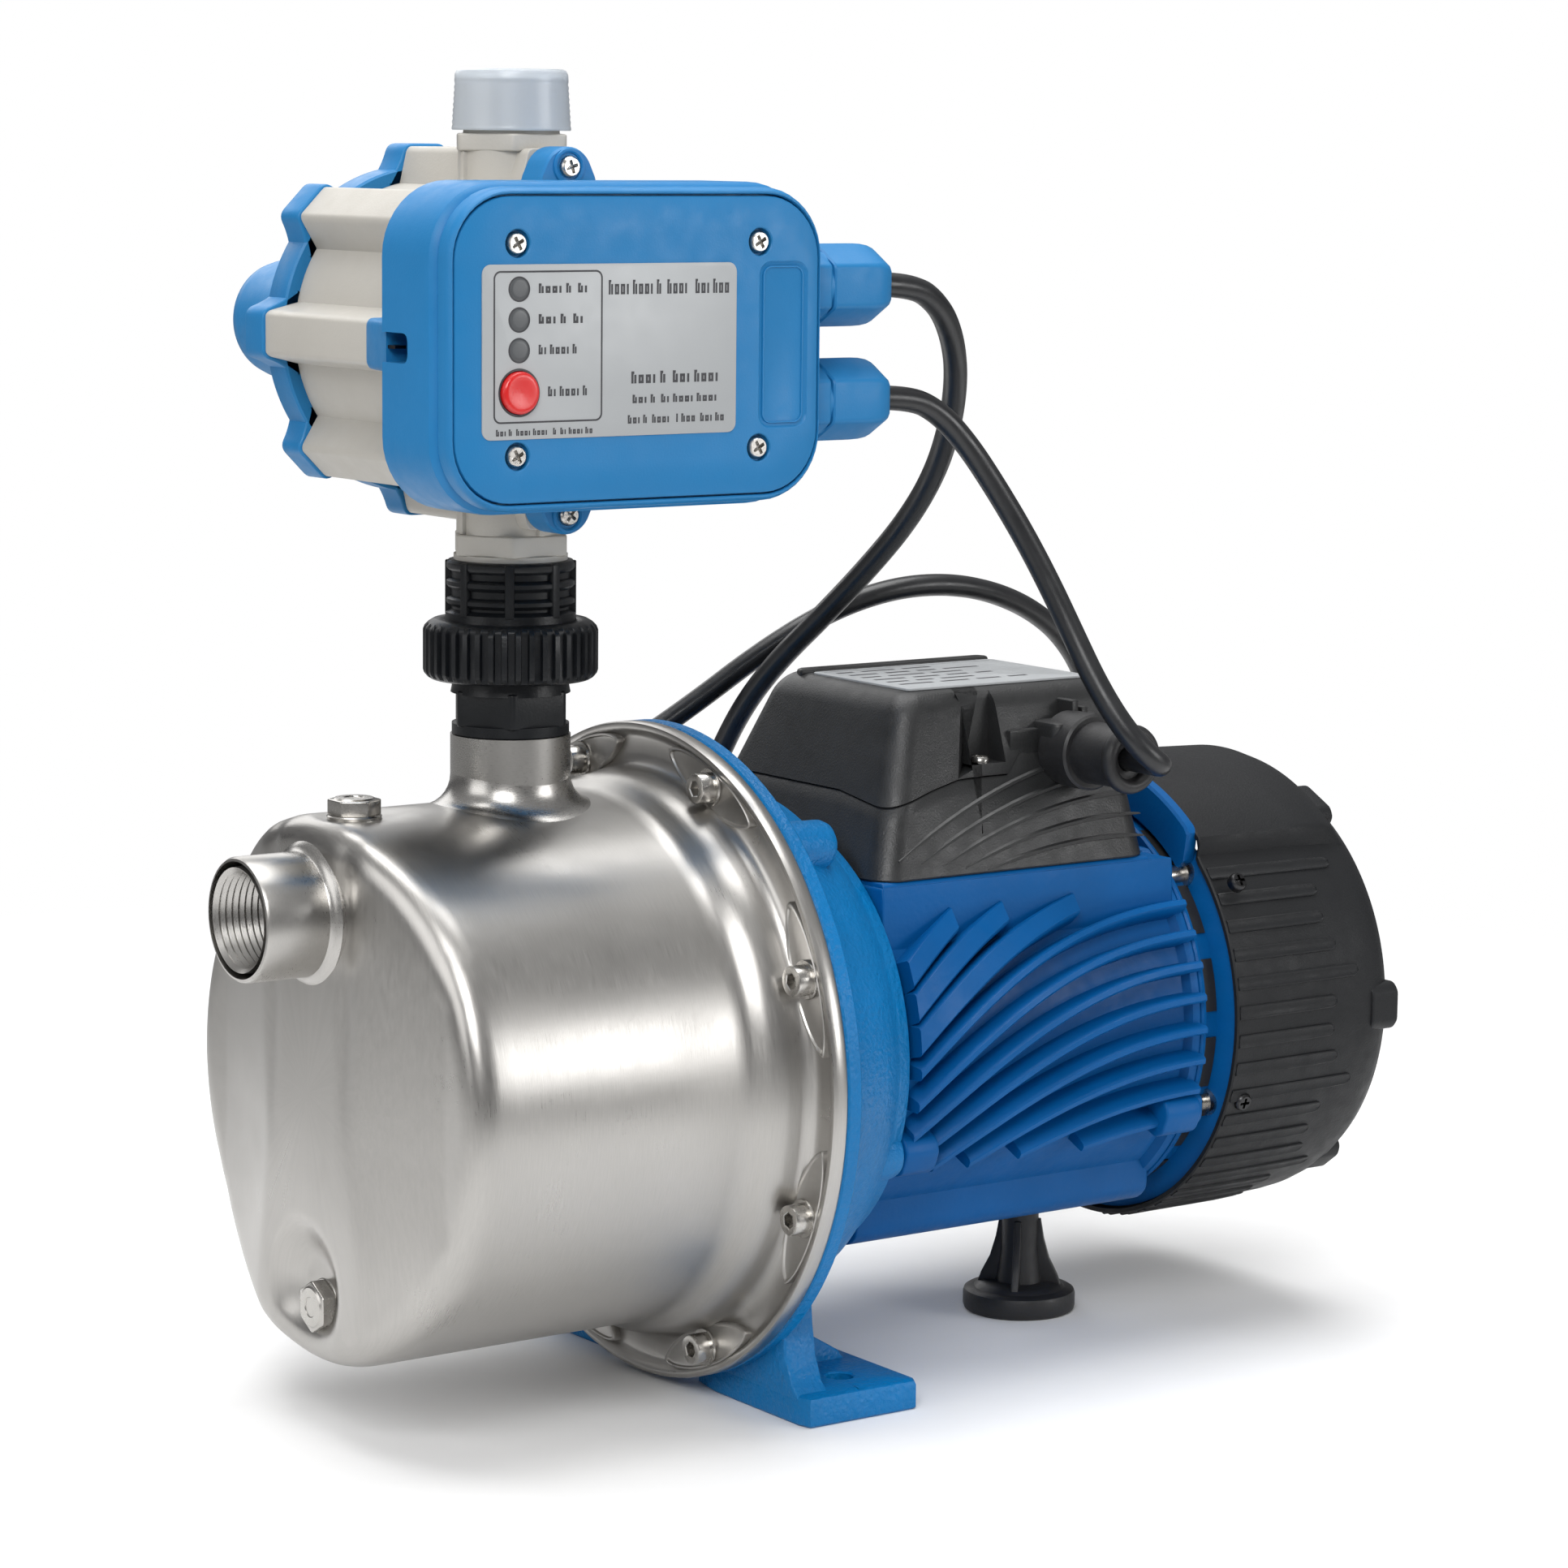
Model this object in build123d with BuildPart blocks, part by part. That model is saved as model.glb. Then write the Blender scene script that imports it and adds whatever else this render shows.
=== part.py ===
from build123d import *
import math
import os

os.makedirs("parts", exist_ok=True)

# Shallow well jet pump with a pressure controller on its outlet.
# Frame: origin on the floor, midway between the two foot bolt holes. +X runs along
# the shaft from the suction end to the fan, +Z is up, millimetres.

# ---- driving dimensions -------------------------------------------------------------
AXIS_Z = 112.0            # shaft height above the floor
FLANGE_X = -30.0          # joint face between casing flange and bracket
FLANGE_R = 110.0
BARREL_R = 88.5
WALL = 2.0                # pressed steel thickness
NOSE_X = -163.0           # front face of the casing
BAND_HALF = 26.0          # half width of the upright band on the nose
SWEEP_DEG = 13.5          # how far the two nose facets sweep back
BOLT_R = 101.0            # flange bolt circle
BOLT_COUNT = 8
M6_R = 3.0
FIT = 0.05                # clearance of fitted pieces
SUCTION_Z = 170.0
SUCTION_X = -187.5
PORT_BORE_R = 15.15       # one inch pipe thread, minor radius
PORT_MAJOR_R = 16.6
STACK_X = -87.0           # upright axis of outlet, union and controller
STUB_TOP = 222.4
PLUG_X = -145.3
PLUG_SEAT_Z = 199.0
DRAIN_Z = 42.0
BODY_R = 70.0             # motor body
BORE_R = 56.0             # stator seat
BODY_X0 = 20.0
BODY_X1 = 148.0
FIN_R = 77.0
SHIELD_R = 80.0
COVER_X0 = 162.0
COVER_X1 = 235.0
COVER_R = 80.0
FOOT_HALF = 66.0          # foot bolt holes at plus and minus this Y
FOOT_HOLE_R = 4.5
BOX_BASE_Z = 171.0
BOX_TOP_Z = 231.0
BOX_X0 = 21.0
BOX_X1 = 137.0
BOX_HALF = 57.0
BOX_GLAND = (108.0, 209.0)
CTRL_Z = 350.0            # controller axis height
CTRL_HALF_X = 70.0
CTRL_HALF_Z = 50.4
LID_Y = -75.0             # front face of the controller lid
CTRL_BODY_R = 49.0
RIB_R = 60.0
RIB_HALF = 7.5
RING_Y0 = 53.0
RING_Y1 = 65.0
GLAND_Y = -56.0
GLAND_Z = (331.0, 367.5)
GLAND_END_X = 23.5
CORD_R = 4.0
COIL_AT = (185.0, 185.0)
COIL_R = 46.0
COIL_Z = (1.0, 18.0)       # underside and top of the two stacked turns

SHAFT = Plane(origin=(0, 0, AXIS_Z), x_dir=(1, 0, 0), z_dir=(0, -1, 0))
PUMP_AXIS = Axis((0, 0, AXIS_Z), (1, 0, 0))
STACK = Plane(origin=(STACK_X, 0, 0), x_dir=(1, 0, 0), z_dir=(0, -1, 0))
STACK_AXIS = Axis((STACK_X, 0, 0), (0, 0, 1))
BASE = (Align.CENTER, Align.CENTER, Align.MIN)


def across(x):
    """Plane square to the shaft at x, its own x along +Y and its own y along +Z."""
    return Plane(origin=(x, 0, AXIS_Z), x_dir=(0, 1, 0), z_dir=(1, 0, 0))


def facing(y):
    """Plane square to the controller axis at y, its own x along +X, its y along +Z."""
    return Plane(origin=(STACK_X, y, CTRL_Z), x_dir=(1, 0, 0), z_dir=(0, -1, 0))


def rod_x(x0, x1, radius, y=0.0, z=AXIS_Z, mode=Mode.ADD):
    with Locations(Location((x0, y, z), (0, 90, 0))):
        Cylinder(radius, x1 - x0, align=BASE, mode=mode)


def rod_y(y0, y1, radius, x=STACK_X, z=CTRL_Z, mode=Mode.ADD):
    with Locations(Location((x, y0, z), (-90, 0, 0))):
        Cylinder(radius, y1 - y0, align=BASE, mode=mode)


def rod_z(z0, z1, radius, x=STACK_X, y=0.0, mode=Mode.ADD):
    with Locations((x, y, z0)):
        Cylinder(radius, z1 - z0, align=BASE, mode=mode)


def block(x0, x1, y0, y1, z0, z1, mode=Mode.ADD):
    with Locations(((x0 + x1) / 2, (y0 + y1) / 2, (z0 + z1) / 2)):
        Box(x1 - x0, y1 - y0, z1 - z0, mode=mode)


def hexagon(plane, across_flats, height, at=(0, 0), mode=Mode.ADD):
    with BuildSketch(plane) as outline:
        with Locations(at):
            RegularPolygon(across_flats / 2, 6, major_radius=False)
    extrude(outline.sketch, amount=height, mode=mode)


def on_circle(radius, angle_deg):
    """Y and Z of a point on a circle about the shaft, 0 degrees towards +Y."""
    turn = math.radians(angle_deg)
    return radius * math.cos(turn), AXIS_Z + radius * math.sin(turn)


def spun(outline, plane, axis):
    """Revolves a closed outline given as (along, radius) pairs."""
    with BuildSketch(plane) as profile:
        with BuildLine():
            Polyline(*outline, close=True)
        make_face()
    revolve(profile.sketch, axis=axis)


# ---- pump casing ---------------------------------------------------------------------
def nose_wedge(nose_x, half, side):
    """Takes off one swept facet of the nose, on the side given as -1 or +1."""
    reach = 100.0
    back = math.tan(math.radians(SWEEP_DEG)) * (reach - half)
    with BuildSketch(Plane.XY.offset(AXIS_Z - reach)) as wedge:
        with BuildLine():
            Polyline(
                (nose_x - 5, side * half),
                (nose_x, side * half),
                (nose_x + back, side * reach),
                (nose_x - 5, side * reach),
                close=True,
            )
        make_face()
    extrude(wedge.sketch, amount=2 * reach, mode=Mode.SUBTRACT)


NOSE_INSET = 3.0          # the cavity stays this far inside the rounded nose edge
with BuildPart() as cavity:
    rod_x(NOSE_X + WALL, -137, BARREL_R - WALL - NOSE_INSET)
    nose_wedge(NOSE_X + WALL, BAND_HALF - 1, -1)
    nose_wedge(NOSE_X + WALL, BAND_HALF - 1, 1)
    rod_x(-138, FLANGE_X - 8, BARREL_R - WALL)
    rod_x(NOSE_X - 3, NOSE_X + 19, 17.0, 0, DRAIN_Z, Mode.SUBTRACT)
    rod_z(PLUG_SEAT_Z - 9, 210, 10.0, PLUG_X, 0, Mode.SUBTRACT)

with BuildPart() as pump_casing:
    rod_x(NOSE_X, FLANGE_X - 12, BARREL_R)
    nose_wedge(NOSE_X, BAND_HALF, -1)
    nose_wedge(NOSE_X, BAND_HALF, 1)
    rim = pump_casing.edges().filter_by(GeomType.LINE, reverse=True)
    chamfer(rim.filter_by_position(Axis.X, NOSE_X - 1, NOSE_X + 25), length=5.0)
    rod_x(NOSE_X - 3, NOSE_X + 10, 15.0, 0, DRAIN_Z, Mode.SUBTRACT)
    block(PLUG_X - 11, PLUG_X + 11, -20, 20, PLUG_SEAT_Z, 210, Mode.SUBTRACT)
    add(cavity.part, mode=Mode.SUBTRACT)
    spun(
        [
            (-45, 87.0), (-45, 88.1), (-38, 94), (-33, 94.5), (-33, 106.5), (-35.5, 107.5),
            (-35.5, FLANGE_R), (FLANGE_X, FLANGE_R), (FLANGE_X, 92), (-36, 92), (-41, 87.0),
        ],
        SHAFT,
        PUMP_AXIS,
    )
    rod_x(NOSE_X - 5, NOSE_X + 12, 20.0 + FIT, 0, SUCTION_Z, Mode.SUBTRACT)
    rod_z(185, 215, 19.5 + FIT, STACK_X, 0, Mode.SUBTRACT)
    rod_z(180, 210, 5.0 + FIT, PLUG_X, 0, Mode.SUBTRACT)
    rod_x(NOSE_X - 3, NOSE_X + 25, 5.0 + FIT, 0, DRAIN_Z, Mode.SUBTRACT)
    with BuildSketch(across(-40)):
        with PolarLocations(BOLT_R, BOLT_COUNT, start_angle=22.5):
            Circle(M6_R + 0.3)
    extrude(amount=15, mode=Mode.SUBTRACT)

with BuildPart() as suction_port:
    rod_x(SUCTION_X, -150, 20.0, 0, SUCTION_Z)
    rod_x(SUCTION_X - 1, -149, PORT_BORE_R, 0, SUCTION_Z, Mode.SUBTRACT)
    with Locations(Location((SUCTION_X, 0, SUCTION_Z), (0, 90, 0))):
        Cone(17.2, PORT_BORE_R, 2.0, align=BASE, mode=Mode.SUBTRACT)

with BuildPart() as discharge_port:
    rod_z(192, STUB_TOP, 19.5)
    rod_z(191, STUB_TOP + 1, PORT_BORE_R, mode=Mode.SUBTRACT)
    rod_z(204, STUB_TOP + 1, PORT_MAJOR_R + FIT, mode=Mode.SUBTRACT)

with BuildPart() as priming_plug:
    rod_z(PLUG_SEAT_Z, PLUG_SEAT_Z + 1, 7.2, PLUG_X)
    hexagon(Plane.XY.offset(PLUG_SEAT_Z + 1), 15.0, 6.0, (PLUG_X, 0))
    rod_z(PLUG_SEAT_Z - 9, PLUG_SEAT_Z, 5.0, PLUG_X)

with BuildPart() as drain_plug:
    rod_x(NOSE_X + 9, NOSE_X + 10, 7.2, 0, DRAIN_Z)
    hexagon(across(NOSE_X + 3), 15.0, 6.0, (0, DRAIN_Z - AXIS_Z))
    rod_x(NOSE_X + 10, NOSE_X + 19, 5.0, 0, DRAIN_Z)

with BuildSketch() as leaf:
    with BuildLine():
        ThreePointArc((1.8, -25), (4.8, 0), (1.8, 25))
        ThreePointArc((1.8, 25), (-6.0, 0), (1.8, -25))
    make_face()
    Circle(M6_R + 0.3, mode=Mode.SUBTRACT)

with BuildPart() as flange_pads:
    with BuildSketch(across(-35)):
        with PolarLocations(BOLT_R, BOLT_COUNT, start_angle=22.5):
            add(leaf.sketch)
    extrude(amount=2)

with BuildPart() as flange_bolts:
    with BuildSketch(across(-41)):
        with PolarLocations(BOLT_R, BOLT_COUNT, start_angle=22.5):
            Circle(5.0)
            RegularPolygon(2.5, 6, major_radius=False, mode=Mode.SUBTRACT)
    extrude(amount=3.5)
    with BuildSketch(across(-37.5)):
        with PolarLocations(BOLT_R, BOLT_COUNT, start_angle=22.5):
            Circle(5.0)
    extrude(amount=2.5)
    with BuildSketch(across(-35)):
        with PolarLocations(BOLT_R, BOLT_COUNT, start_angle=22.5):
            Circle(M6_R)
    extrude(amount=21)

with BuildPart() as casing_oring:
    with BuildSketch(SHAFT):
        with Locations((-32.2, 89.4)):
            Circle(2.0)
    revolve(axis=PUMP_AXIS)

# ---- jet unit inside the casing --------------------------------------------------------
with BuildPart() as ejector_body:
    rod_x(-158, -116, 26.0)
    rod_z(AXIS_Z, SUCTION_Z, 17.9, -131.9)
    rod_x(-149.9, -120, 18.0, 0, SUCTION_Z)
    rod_x(-152, -118, 18.5, mode=Mode.SUBTRACT)
    rod_x(-120, -112, 16.0, mode=Mode.SUBTRACT)
    rod_z(AXIS_Z, SUCTION_Z, 14.0, -131.9, mode=Mode.SUBTRACT)
    rod_x(-151, -124, 14.0, 0, SUCTION_Z, Mode.SUBTRACT)
    rod_x(-159, -151, 8.0 + FIT, mode=Mode.SUBTRACT)

with BuildPart() as ejector_nozzle:
    spun([(-158, 4.5), (-158, 8), (-150, 8), (-122, 5.2), (-122, 3), (-150, 6)], SHAFT, PUMP_AXIS)

with BuildPart() as venturi_tube:
    spun(
        [(-121, 9), (-121, 12), (-119, 16 - FIT), (-112, 16 - FIT), (-100, 13), (-70, 18),
         (-64.2, 19), (-64.2, 16.5), (-110, 6.5), (-116, 7)],
        SHAFT,
        PUMP_AXIS,
    )

with BuildPart() as diffuser:
    spun([(-64, 22.6), (-64, 84), (-61, 84), (-61, 22.6)], SHAFT, PUMP_AXIS)
    with BuildSketch(across(-61.5)):
        with PolarLocations(72, 10):
            with Locations(Location((0, 0), 50)):
                Rectangle(22, 2.5)
    extrude(amount=25)
    spun([(-38.5, 63), (-38.5, 84), (-36.5, 84), (-36.5, 63)], SHAFT, PUMP_AXIS)

with BuildPart() as impeller:
    spun([(-44, 6 + FIT), (-44, 60), (-42, 60), (-42, 6 + FIT)], SHAFT, PUMP_AXIS)
    spun([(-56, 20), (-56, 60), (-54, 60), (-54, 20)], SHAFT, PUMP_AXIS)
    spun([(-60, 20), (-60, 22), (-55, 22), (-55, 20)], SHAFT, PUMP_AXIS)
    spun([(-57, 6 + FIT), (-57, 12), (-43, 13), (-43, 6 + FIT)], SHAFT, PUMP_AXIS)
    with BuildSketch(across(-54.5)):
        with PolarLocations(38, 6):
            with Locations(Location((0, 0), 32)):
                Rectangle(36, 2.4)
    extrude(amount=11)

with BuildPart() as impeller_nut:
    hexagon(across(-64), 13.0, 7.0)
    rod_x(-65, -56, 4.0 + FIT, mode=Mode.SUBTRACT)

with BuildPart() as seal_rotating:
    spun([(-41.9, 7 + FIT), (-41.9, 11), (-36.1, 11.5), (-36.1, 7 + FIT)], SHAFT, PUMP_AXIS)

with BuildPart() as seal_stationary:
    spun([(-36, 8.0), (-36, 12.0), (-29, 12.0), (-29, 8.0)], SHAFT, PUMP_AXIS)

with BuildPart() as seal_plate:
    spun(
        [(-36, 12 + FIT), (-36, 14), (-30, 15), (-30, 96.2), (-28, 96.2), (-28, 12 + FIT)],
        SHAFT,
        PUMP_AXIS,
    )

# ---- bracket with feet -------------------------------------------------------------------
MOTOR_BOLT_R = 70.0
MOTOR_BOLT_ANGLES = (-24.0, 204.0, 45.0, 135.0)
with BuildPart() as motor_bracket:
    spun(
        [
            (-30, 96.4), (-30, FLANGE_R), (-24, FLANGE_R), (-21, 99), (-16, 94), (8, 84),
            (15, 77), (20, 75), (20, 17.55), (9, 17.55), (9, 10), (5, 10), (5, 26), (14, 26),
            (14, 68), (6, 76), (-18, 86), (-28, 88), (-28, 96.4),
        ],
        SHAFT,
        PUMP_AXIS,
    )
    with BuildSketch(across(-27.9)):
        with PolarLocations(BOLT_R, BOLT_COUNT, start_angle=22.5):
            Circle(8.0)
    extrude(amount=15.9)
    for angle in MOTOR_BOLT_ANGLES:
        lobe_y, lobe_z = on_circle(MOTOR_BOLT_R + 2, angle)
        rod_x(-6, BODY_X0, 8.5, lobe_y, lobe_z)
    for side in (-1, 1):
        foot_inner, foot_outer = sorted((side * 19, side * 84))
        block(-26, 20, foot_inner, foot_outer, 0, 10)
        with BuildSketch(Plane(origin=(-25, 0, 0), x_dir=(0, 1, 0), z_dir=(1, 0, 0))):
            with BuildLine():
                Polyline(
                    (side * 20, 6), (side * 78, 6), (side * 72, 12), (side * 66, 26),
                    (side * 66, 48), (side * 34, 40), close=True,
                )
            make_face()
        extrude(amount=15)
    rod_x(-40, FLANGE_X, 130, mode=Mode.SUBTRACT)
    rod_x(-28.5, 5.5, 70, mode=Mode.SUBTRACT)
    with BuildSketch(across(FLANGE_X)):
        with PolarLocations(BOLT_R, BOLT_COUNT, start_angle=22.5):
            Circle(M6_R + FIT)
    extrude(amount=17, mode=Mode.SUBTRACT)
    for angle in MOTOR_BOLT_ANGLES:
        bolt_y, bolt_z = on_circle(MOTOR_BOLT_R, angle)
        rod_x(0, 30, M6_R + 0.3, bolt_y, bolt_z, Mode.SUBTRACT)
        rod_x(-10, 14, 6.0, bolt_y, bolt_z, Mode.SUBTRACT)
    for side in (-1, 1):
        rod_z(-1, 12, FOOT_HOLE_R, 0, side * FOOT_HALF, Mode.SUBTRACT)

with BuildPart() as motor_bolts:
    for angle in MOTOR_BOLT_ANGLES:
        bolt_y, bolt_z = on_circle(MOTOR_BOLT_R, angle)
        rod_x(8, 14, 5.0, bolt_y, bolt_z)
        rod_x(14, 34, M6_R, bolt_y, bolt_z)
        rod_x(156, 161.5, 5.0, bolt_y, bolt_z)
        rod_x(134, 156, M6_R, bolt_y, bolt_z)

# ---- motor -----------------------------------------------------------------------------
COVER_SCREW_X = 165.0
LOWER_SCREW_ANGLES = (-20.0, 200.0)
UPPER_SCREW_ANGLES = (35.0, 145.0)


def upper_zone(x0, x1, inner, outer):
    """A raised band over the upper part of a round cover."""
    with BuildSketch(across(x0)) as band:
        Circle(outer)
        Circle(inner, mode=Mode.SUBTRACT)
        with Locations((0, 75)):
            Rectangle(140, 60, mode=Mode.INTERSECT)
    extrude(band.sketch, amount=x1 - x0)


def radial_screws(angles, radius, r0, r1, mode=Mode.ADD):
    """Round pins pointing at the shaft, one at each of the given fan cover screws."""
    for angle in angles:
        pin_y, pin_z = on_circle((r0 + r1) / 2, angle)
        with Locations(Location((COVER_SCREW_X, pin_y, pin_z), (angle - 90, 0, 0))):
            Cylinder(radius, r1 - r0, mode=mode)


with BuildPart() as rotor_shaft:
    spun(
        [
            (-67, 0), (-67, 4), (-57, 4), (-57, 6), (-42, 6), (-42, 7), (8, 7), (8, 7.5),
            (22, 7.5), (22, 9), (143, 9), (143, 7.5), (159, 7.5), (159, 6), (190, 6), (190, 0),
        ],
        SHAFT,
        PUMP_AXIS,
    )

with BuildPart() as rotor_core:
    spun([(52, 9 + FIT), (52, 31.7), (112, 31.7), (112, 9 + FIT)], SHAFT, PUMP_AXIS)
    spun([(46, 22), (46, 29), (118, 29), (118, 22)], SHAFT, PUMP_AXIS)
    rod_x(45, 119, 9 + FIT, mode=Mode.SUBTRACT)

with BuildPart() as ball_bearings:
    for seat_x in (9.0, 145.0):
        spun(
            [(seat_x, 7.55), (seat_x, 17.5), (seat_x + 11, 17.5), (seat_x + 11, 7.55)],
            SHAFT,
            PUMP_AXIS,
        )

with BuildPart() as stator_core:
    spun([(52, 32.3), (52, BORE_R), (112, BORE_R), (112, 32.3)], SHAFT, PUMP_AXIS)
    with BuildSketch(across(52)):
        with PolarLocations(37, 24):
            Rectangle(8, 4)
    extrude(amount=60, mode=Mode.SUBTRACT)

with BuildPart() as stator_winding:
    for ring_x in (34.0, 112.2):
        spun(
            [(ring_x, 38), (ring_x, 50), (ring_x + 4, 54), (ring_x + 17.6, 54), (ring_x + 17.6, 34)],
            SHAFT,
            PUMP_AXIS,
        )

with BuildPart() as motor_housing:
    rod_x(BODY_X0, BODY_X1, BODY_R)
    block(BODY_X0, BODY_X1, -45, 45, 46, 80)
    block(BOX_X0, BOX_X1, -BOX_HALF, BOX_HALF, 130, BOX_BASE_Z)
    block(BODY_X0, BODY_X1, -40, 40, BOX_BASE_Z, 190, Mode.SUBTRACT)
    for side_angle in (0.0, 180.0):
        for step in range(9):
            turn = side_angle + (step - 3) * 7.5 * (1 if side_angle == 0 else -1)
            fin_y, fin_z = on_circle(FIN_R - 5, turn)
            with Locations(Location((84, fin_y, fin_z), (turn, 0, 0))):
                Box(120, 10, 3.4)
    for angle in MOTOR_BOLT_ANGLES:
        lobe_y, lobe_z = on_circle(MOTOR_BOLT_R, angle)
        rod_x(BODY_X0, 38, 8.5, lobe_y, lobe_z)
        rod_x(130, BODY_X1, 8.5, lobe_y, lobe_z)
    rod_x(BODY_X0 - 1, BODY_X1 + 1, BORE_R, mode=Mode.SUBTRACT)
    for angle in MOTOR_BOLT_ANGLES:
        bolt_y, bolt_z = on_circle(MOTOR_BOLT_R, angle)
        rod_x(BODY_X0 - 1, 35, M6_R + FIT, bolt_y, bolt_z, Mode.SUBTRACT)
        rod_x(133, BODY_X1 + 1, M6_R + FIT, bolt_y, bolt_z, Mode.SUBTRACT)
    rod_z(40, 50, 6.5 + FIT, 127.6, 0, Mode.SUBTRACT)
    rod_z(165, 175, 9.0, 60, 0, Mode.SUBTRACT)

with BuildPart() as rear_end_shield:
    spun(
        [
            (148, 62), (148, SHIELD_R), (COVER_X0, SHIELD_R), (COVER_X0, 77.6), (168, 77.6),
            (168, 74), (156, 74), (156, 26), (158, 26), (158, 12), (156, 12), (156, 17.55),
            (144, 17.55), (144, 24), (150, 26), (150, 62),
        ],
        SHAFT,
        PUMP_AXIS,
    )
    with BuildSketch(across(140)):
        with PolarLocations(71.5, 8, start_angle=0):
            SlotOverall(26, 7, rotation=90)
    extrude(amount=30, mode=Mode.SUBTRACT)
    for angle in MOTOR_BOLT_ANGLES:
        bolt_y, bolt_z = on_circle(MOTOR_BOLT_R, angle)
        rod_x(148, 156, 8.5, bolt_y, bolt_z)
        rod_x(147, 157, M6_R + 0.3, bolt_y, bolt_z, Mode.SUBTRACT)
        rod_x(156, 170, 5.5, bolt_y, bolt_z, Mode.SUBTRACT)
    upper_zone(148, COVER_X0, SHIELD_R - 2, 84.0)
    radial_screws(UPPER_SCREW_ANGLES + LOWER_SCREW_ANGLES, 2.05, 70, 84, Mode.SUBTRACT)

with BuildPart() as cooling_fan:
    spun([(168, 6 + FIT), (168, 60), (170.5, 60), (170.5, 14), (186, 12), (186, 6 + FIT)],
         SHAFT, PUMP_AXIS)
    with BuildSketch(across(170)):
        with PolarLocations(38, 9):
            Rectangle(46, 2.2)
    extrude(amount=16)

with BuildPart() as fan_cover:
    spun(
        [
            (COVER_X0, 77.8), (COVER_X0, COVER_R), (222, 79.4), (231, 76.5), (COVER_X1, 70),
            (COVER_X1, 0), (COVER_X1 - 2.5, 0), (COVER_X1 - 2.5, 69), (229, 74.5), (222, 77),
        ],
        SHAFT,
        PUMP_AXIS,
    )
    upper_zone(COVER_X0, 224, COVER_R - 2, 85.5)
    for angle in (0, 63, 117, 180, 233, 307):
        lobe_y, lobe_z = on_circle(78, angle)
        with Locations(Location((226, lobe_y, lobe_z), (angle, 0, 0))):
            Box(16, 9, 17)
    rod_x(200, 229, 74.4, mode=Mode.SUBTRACT)
    radial_screws(UPPER_SCREW_ANGLES + LOWER_SCREW_ANGLES, 2.05, 74, 90, Mode.SUBTRACT)
    for ring in (24, 34, 44, 54, 64):
        with BuildSketch(across(225)):
            Circle(ring + 3)
            Circle(ring - 3, mode=Mode.SUBTRACT)
            Rectangle(160, 7, mode=Mode.SUBTRACT)
            Rectangle(7, 160, mode=Mode.SUBTRACT)
        extrude(amount=20, mode=Mode.SUBTRACT)

with BuildPart() as fan_cover_screws:
    radial_screws(UPPER_SCREW_ANGLES, 2.0, 75, 86)
    radial_screws(UPPER_SCREW_ANGLES, 3.4, 85.6, 87.4)
    radial_screws(LOWER_SCREW_ANGLES, 2.0, 75, 81)
    radial_screws(LOWER_SCREW_ANGLES, 3.4, 80.1, 81.9)

with BuildPart() as support_foot:
    rod_z(0, 7, 20.0, 127.6)
    rod_z(7, 9, 18.5, 127.6)
    rod_z(9, 49, 6.5, 127.6)
    for k in range(2):
        with BuildSketch(Plane(origin=(127.6, 0, 0), x_dir=(1 - k, k, 0), z_dir=(k, k - 1, 0))):
            with BuildLine():
                Polyline((-14, 8), (14, 8), (12, 13), (6, 34), (-6, 34), (-12, 13), close=True)
            make_face()
        extrude(amount=1.6, both=True)

# ---- terminal box ------------------------------------------------------------------------
def box_form(inset):
    """The tapered box as one solid, drawn in by the wall on every side."""
    with BuildPart() as form:
        with BuildSketch(Plane.XY.offset(BOX_BASE_Z + inset)):
            with Locations(((BOX_X0 + BOX_X1) / 2, 0)):
                RectangleRounded(BOX_X1 - BOX_X0 - 2 * inset, 2 * (BOX_HALF - inset), 15 - inset)
        with BuildSketch(Plane.XY.offset(BOX_TOP_Z - inset)):
            with Locations((88.5, 0)):
                RectangleRounded(89 - 2 * inset, 2 * (37 - inset), 15 - inset)
        loft()
    return form.part


PARTING_Z = (202.0, 211.0)   # the lid's joint steps up over the cable gland
SLOT_X = (67.0, 81.0)


with BuildPart() as below_parting:
    block(10, 90, -60, 60, 160, PARTING_Z[0])
    block(90, 150, -60, 60, 160, PARTING_Z[1])


def box_shell(keep):
    with BuildPart() as shell:
        add(box_form(0))
        add(box_form(2.5), mode=Mode.SUBTRACT)
        block(SLOT_X[0], SLOT_X[1], -60, -36, 206, 240, Mode.SUBTRACT)
        block(SLOT_X[0], SLOT_X[1], 36, 60, 206, 240, Mode.SUBTRACT)
        add(below_parting.part, mode=keep)
    return shell.part


with BuildPart() as terminal_box_base:
    add(box_shell(Mode.INTERSECT))
    block(SLOT_X[0], SLOT_X[1], -46, -34, 172, PARTING_Z[0])
    block(SLOT_X[0], SLOT_X[1], 34, 46, 172, PARTING_Z[0])
    block(92, 124, -52, -40, 172, PARTING_Z[1])
    block(94.5, 121.5, -49.5, -39, 174, 215, Mode.SUBTRACT)
    rod_y(-60, -48, 10.5 + FIT, BOX_GLAND[0], BOX_GLAND[1] - 9, Mode.SUBTRACT)
    rod_z(165, 176, 9.0, 50, 0, Mode.SUBTRACT)
    rod_z(180, 203, 1.7, 74, -41, Mode.SUBTRACT)
    rod_z(180, 203, 1.7, 74, 41, Mode.SUBTRACT)

with BuildPart() as terminal_box_cover:
    add(box_shell(Mode.SUBTRACT))
    for side in (-1, 1):
        shelf_inner, shelf_outer = sorted((side * 33.5, side * 45))
        wall_inner, wall_outer = sorted((side * 33.5, side * 36))
        block(SLOT_X[0] - 2, SLOT_X[1] + 2, shelf_inner, shelf_outer, 203, 206)
        block(SLOT_X[0] - 2, SLOT_X[1] + 2, wall_inner, wall_outer, 203, BOX_TOP_Z - 1)
        rod_z(202, 207, 2.2, 74, side * 41, Mode.SUBTRACT)

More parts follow.
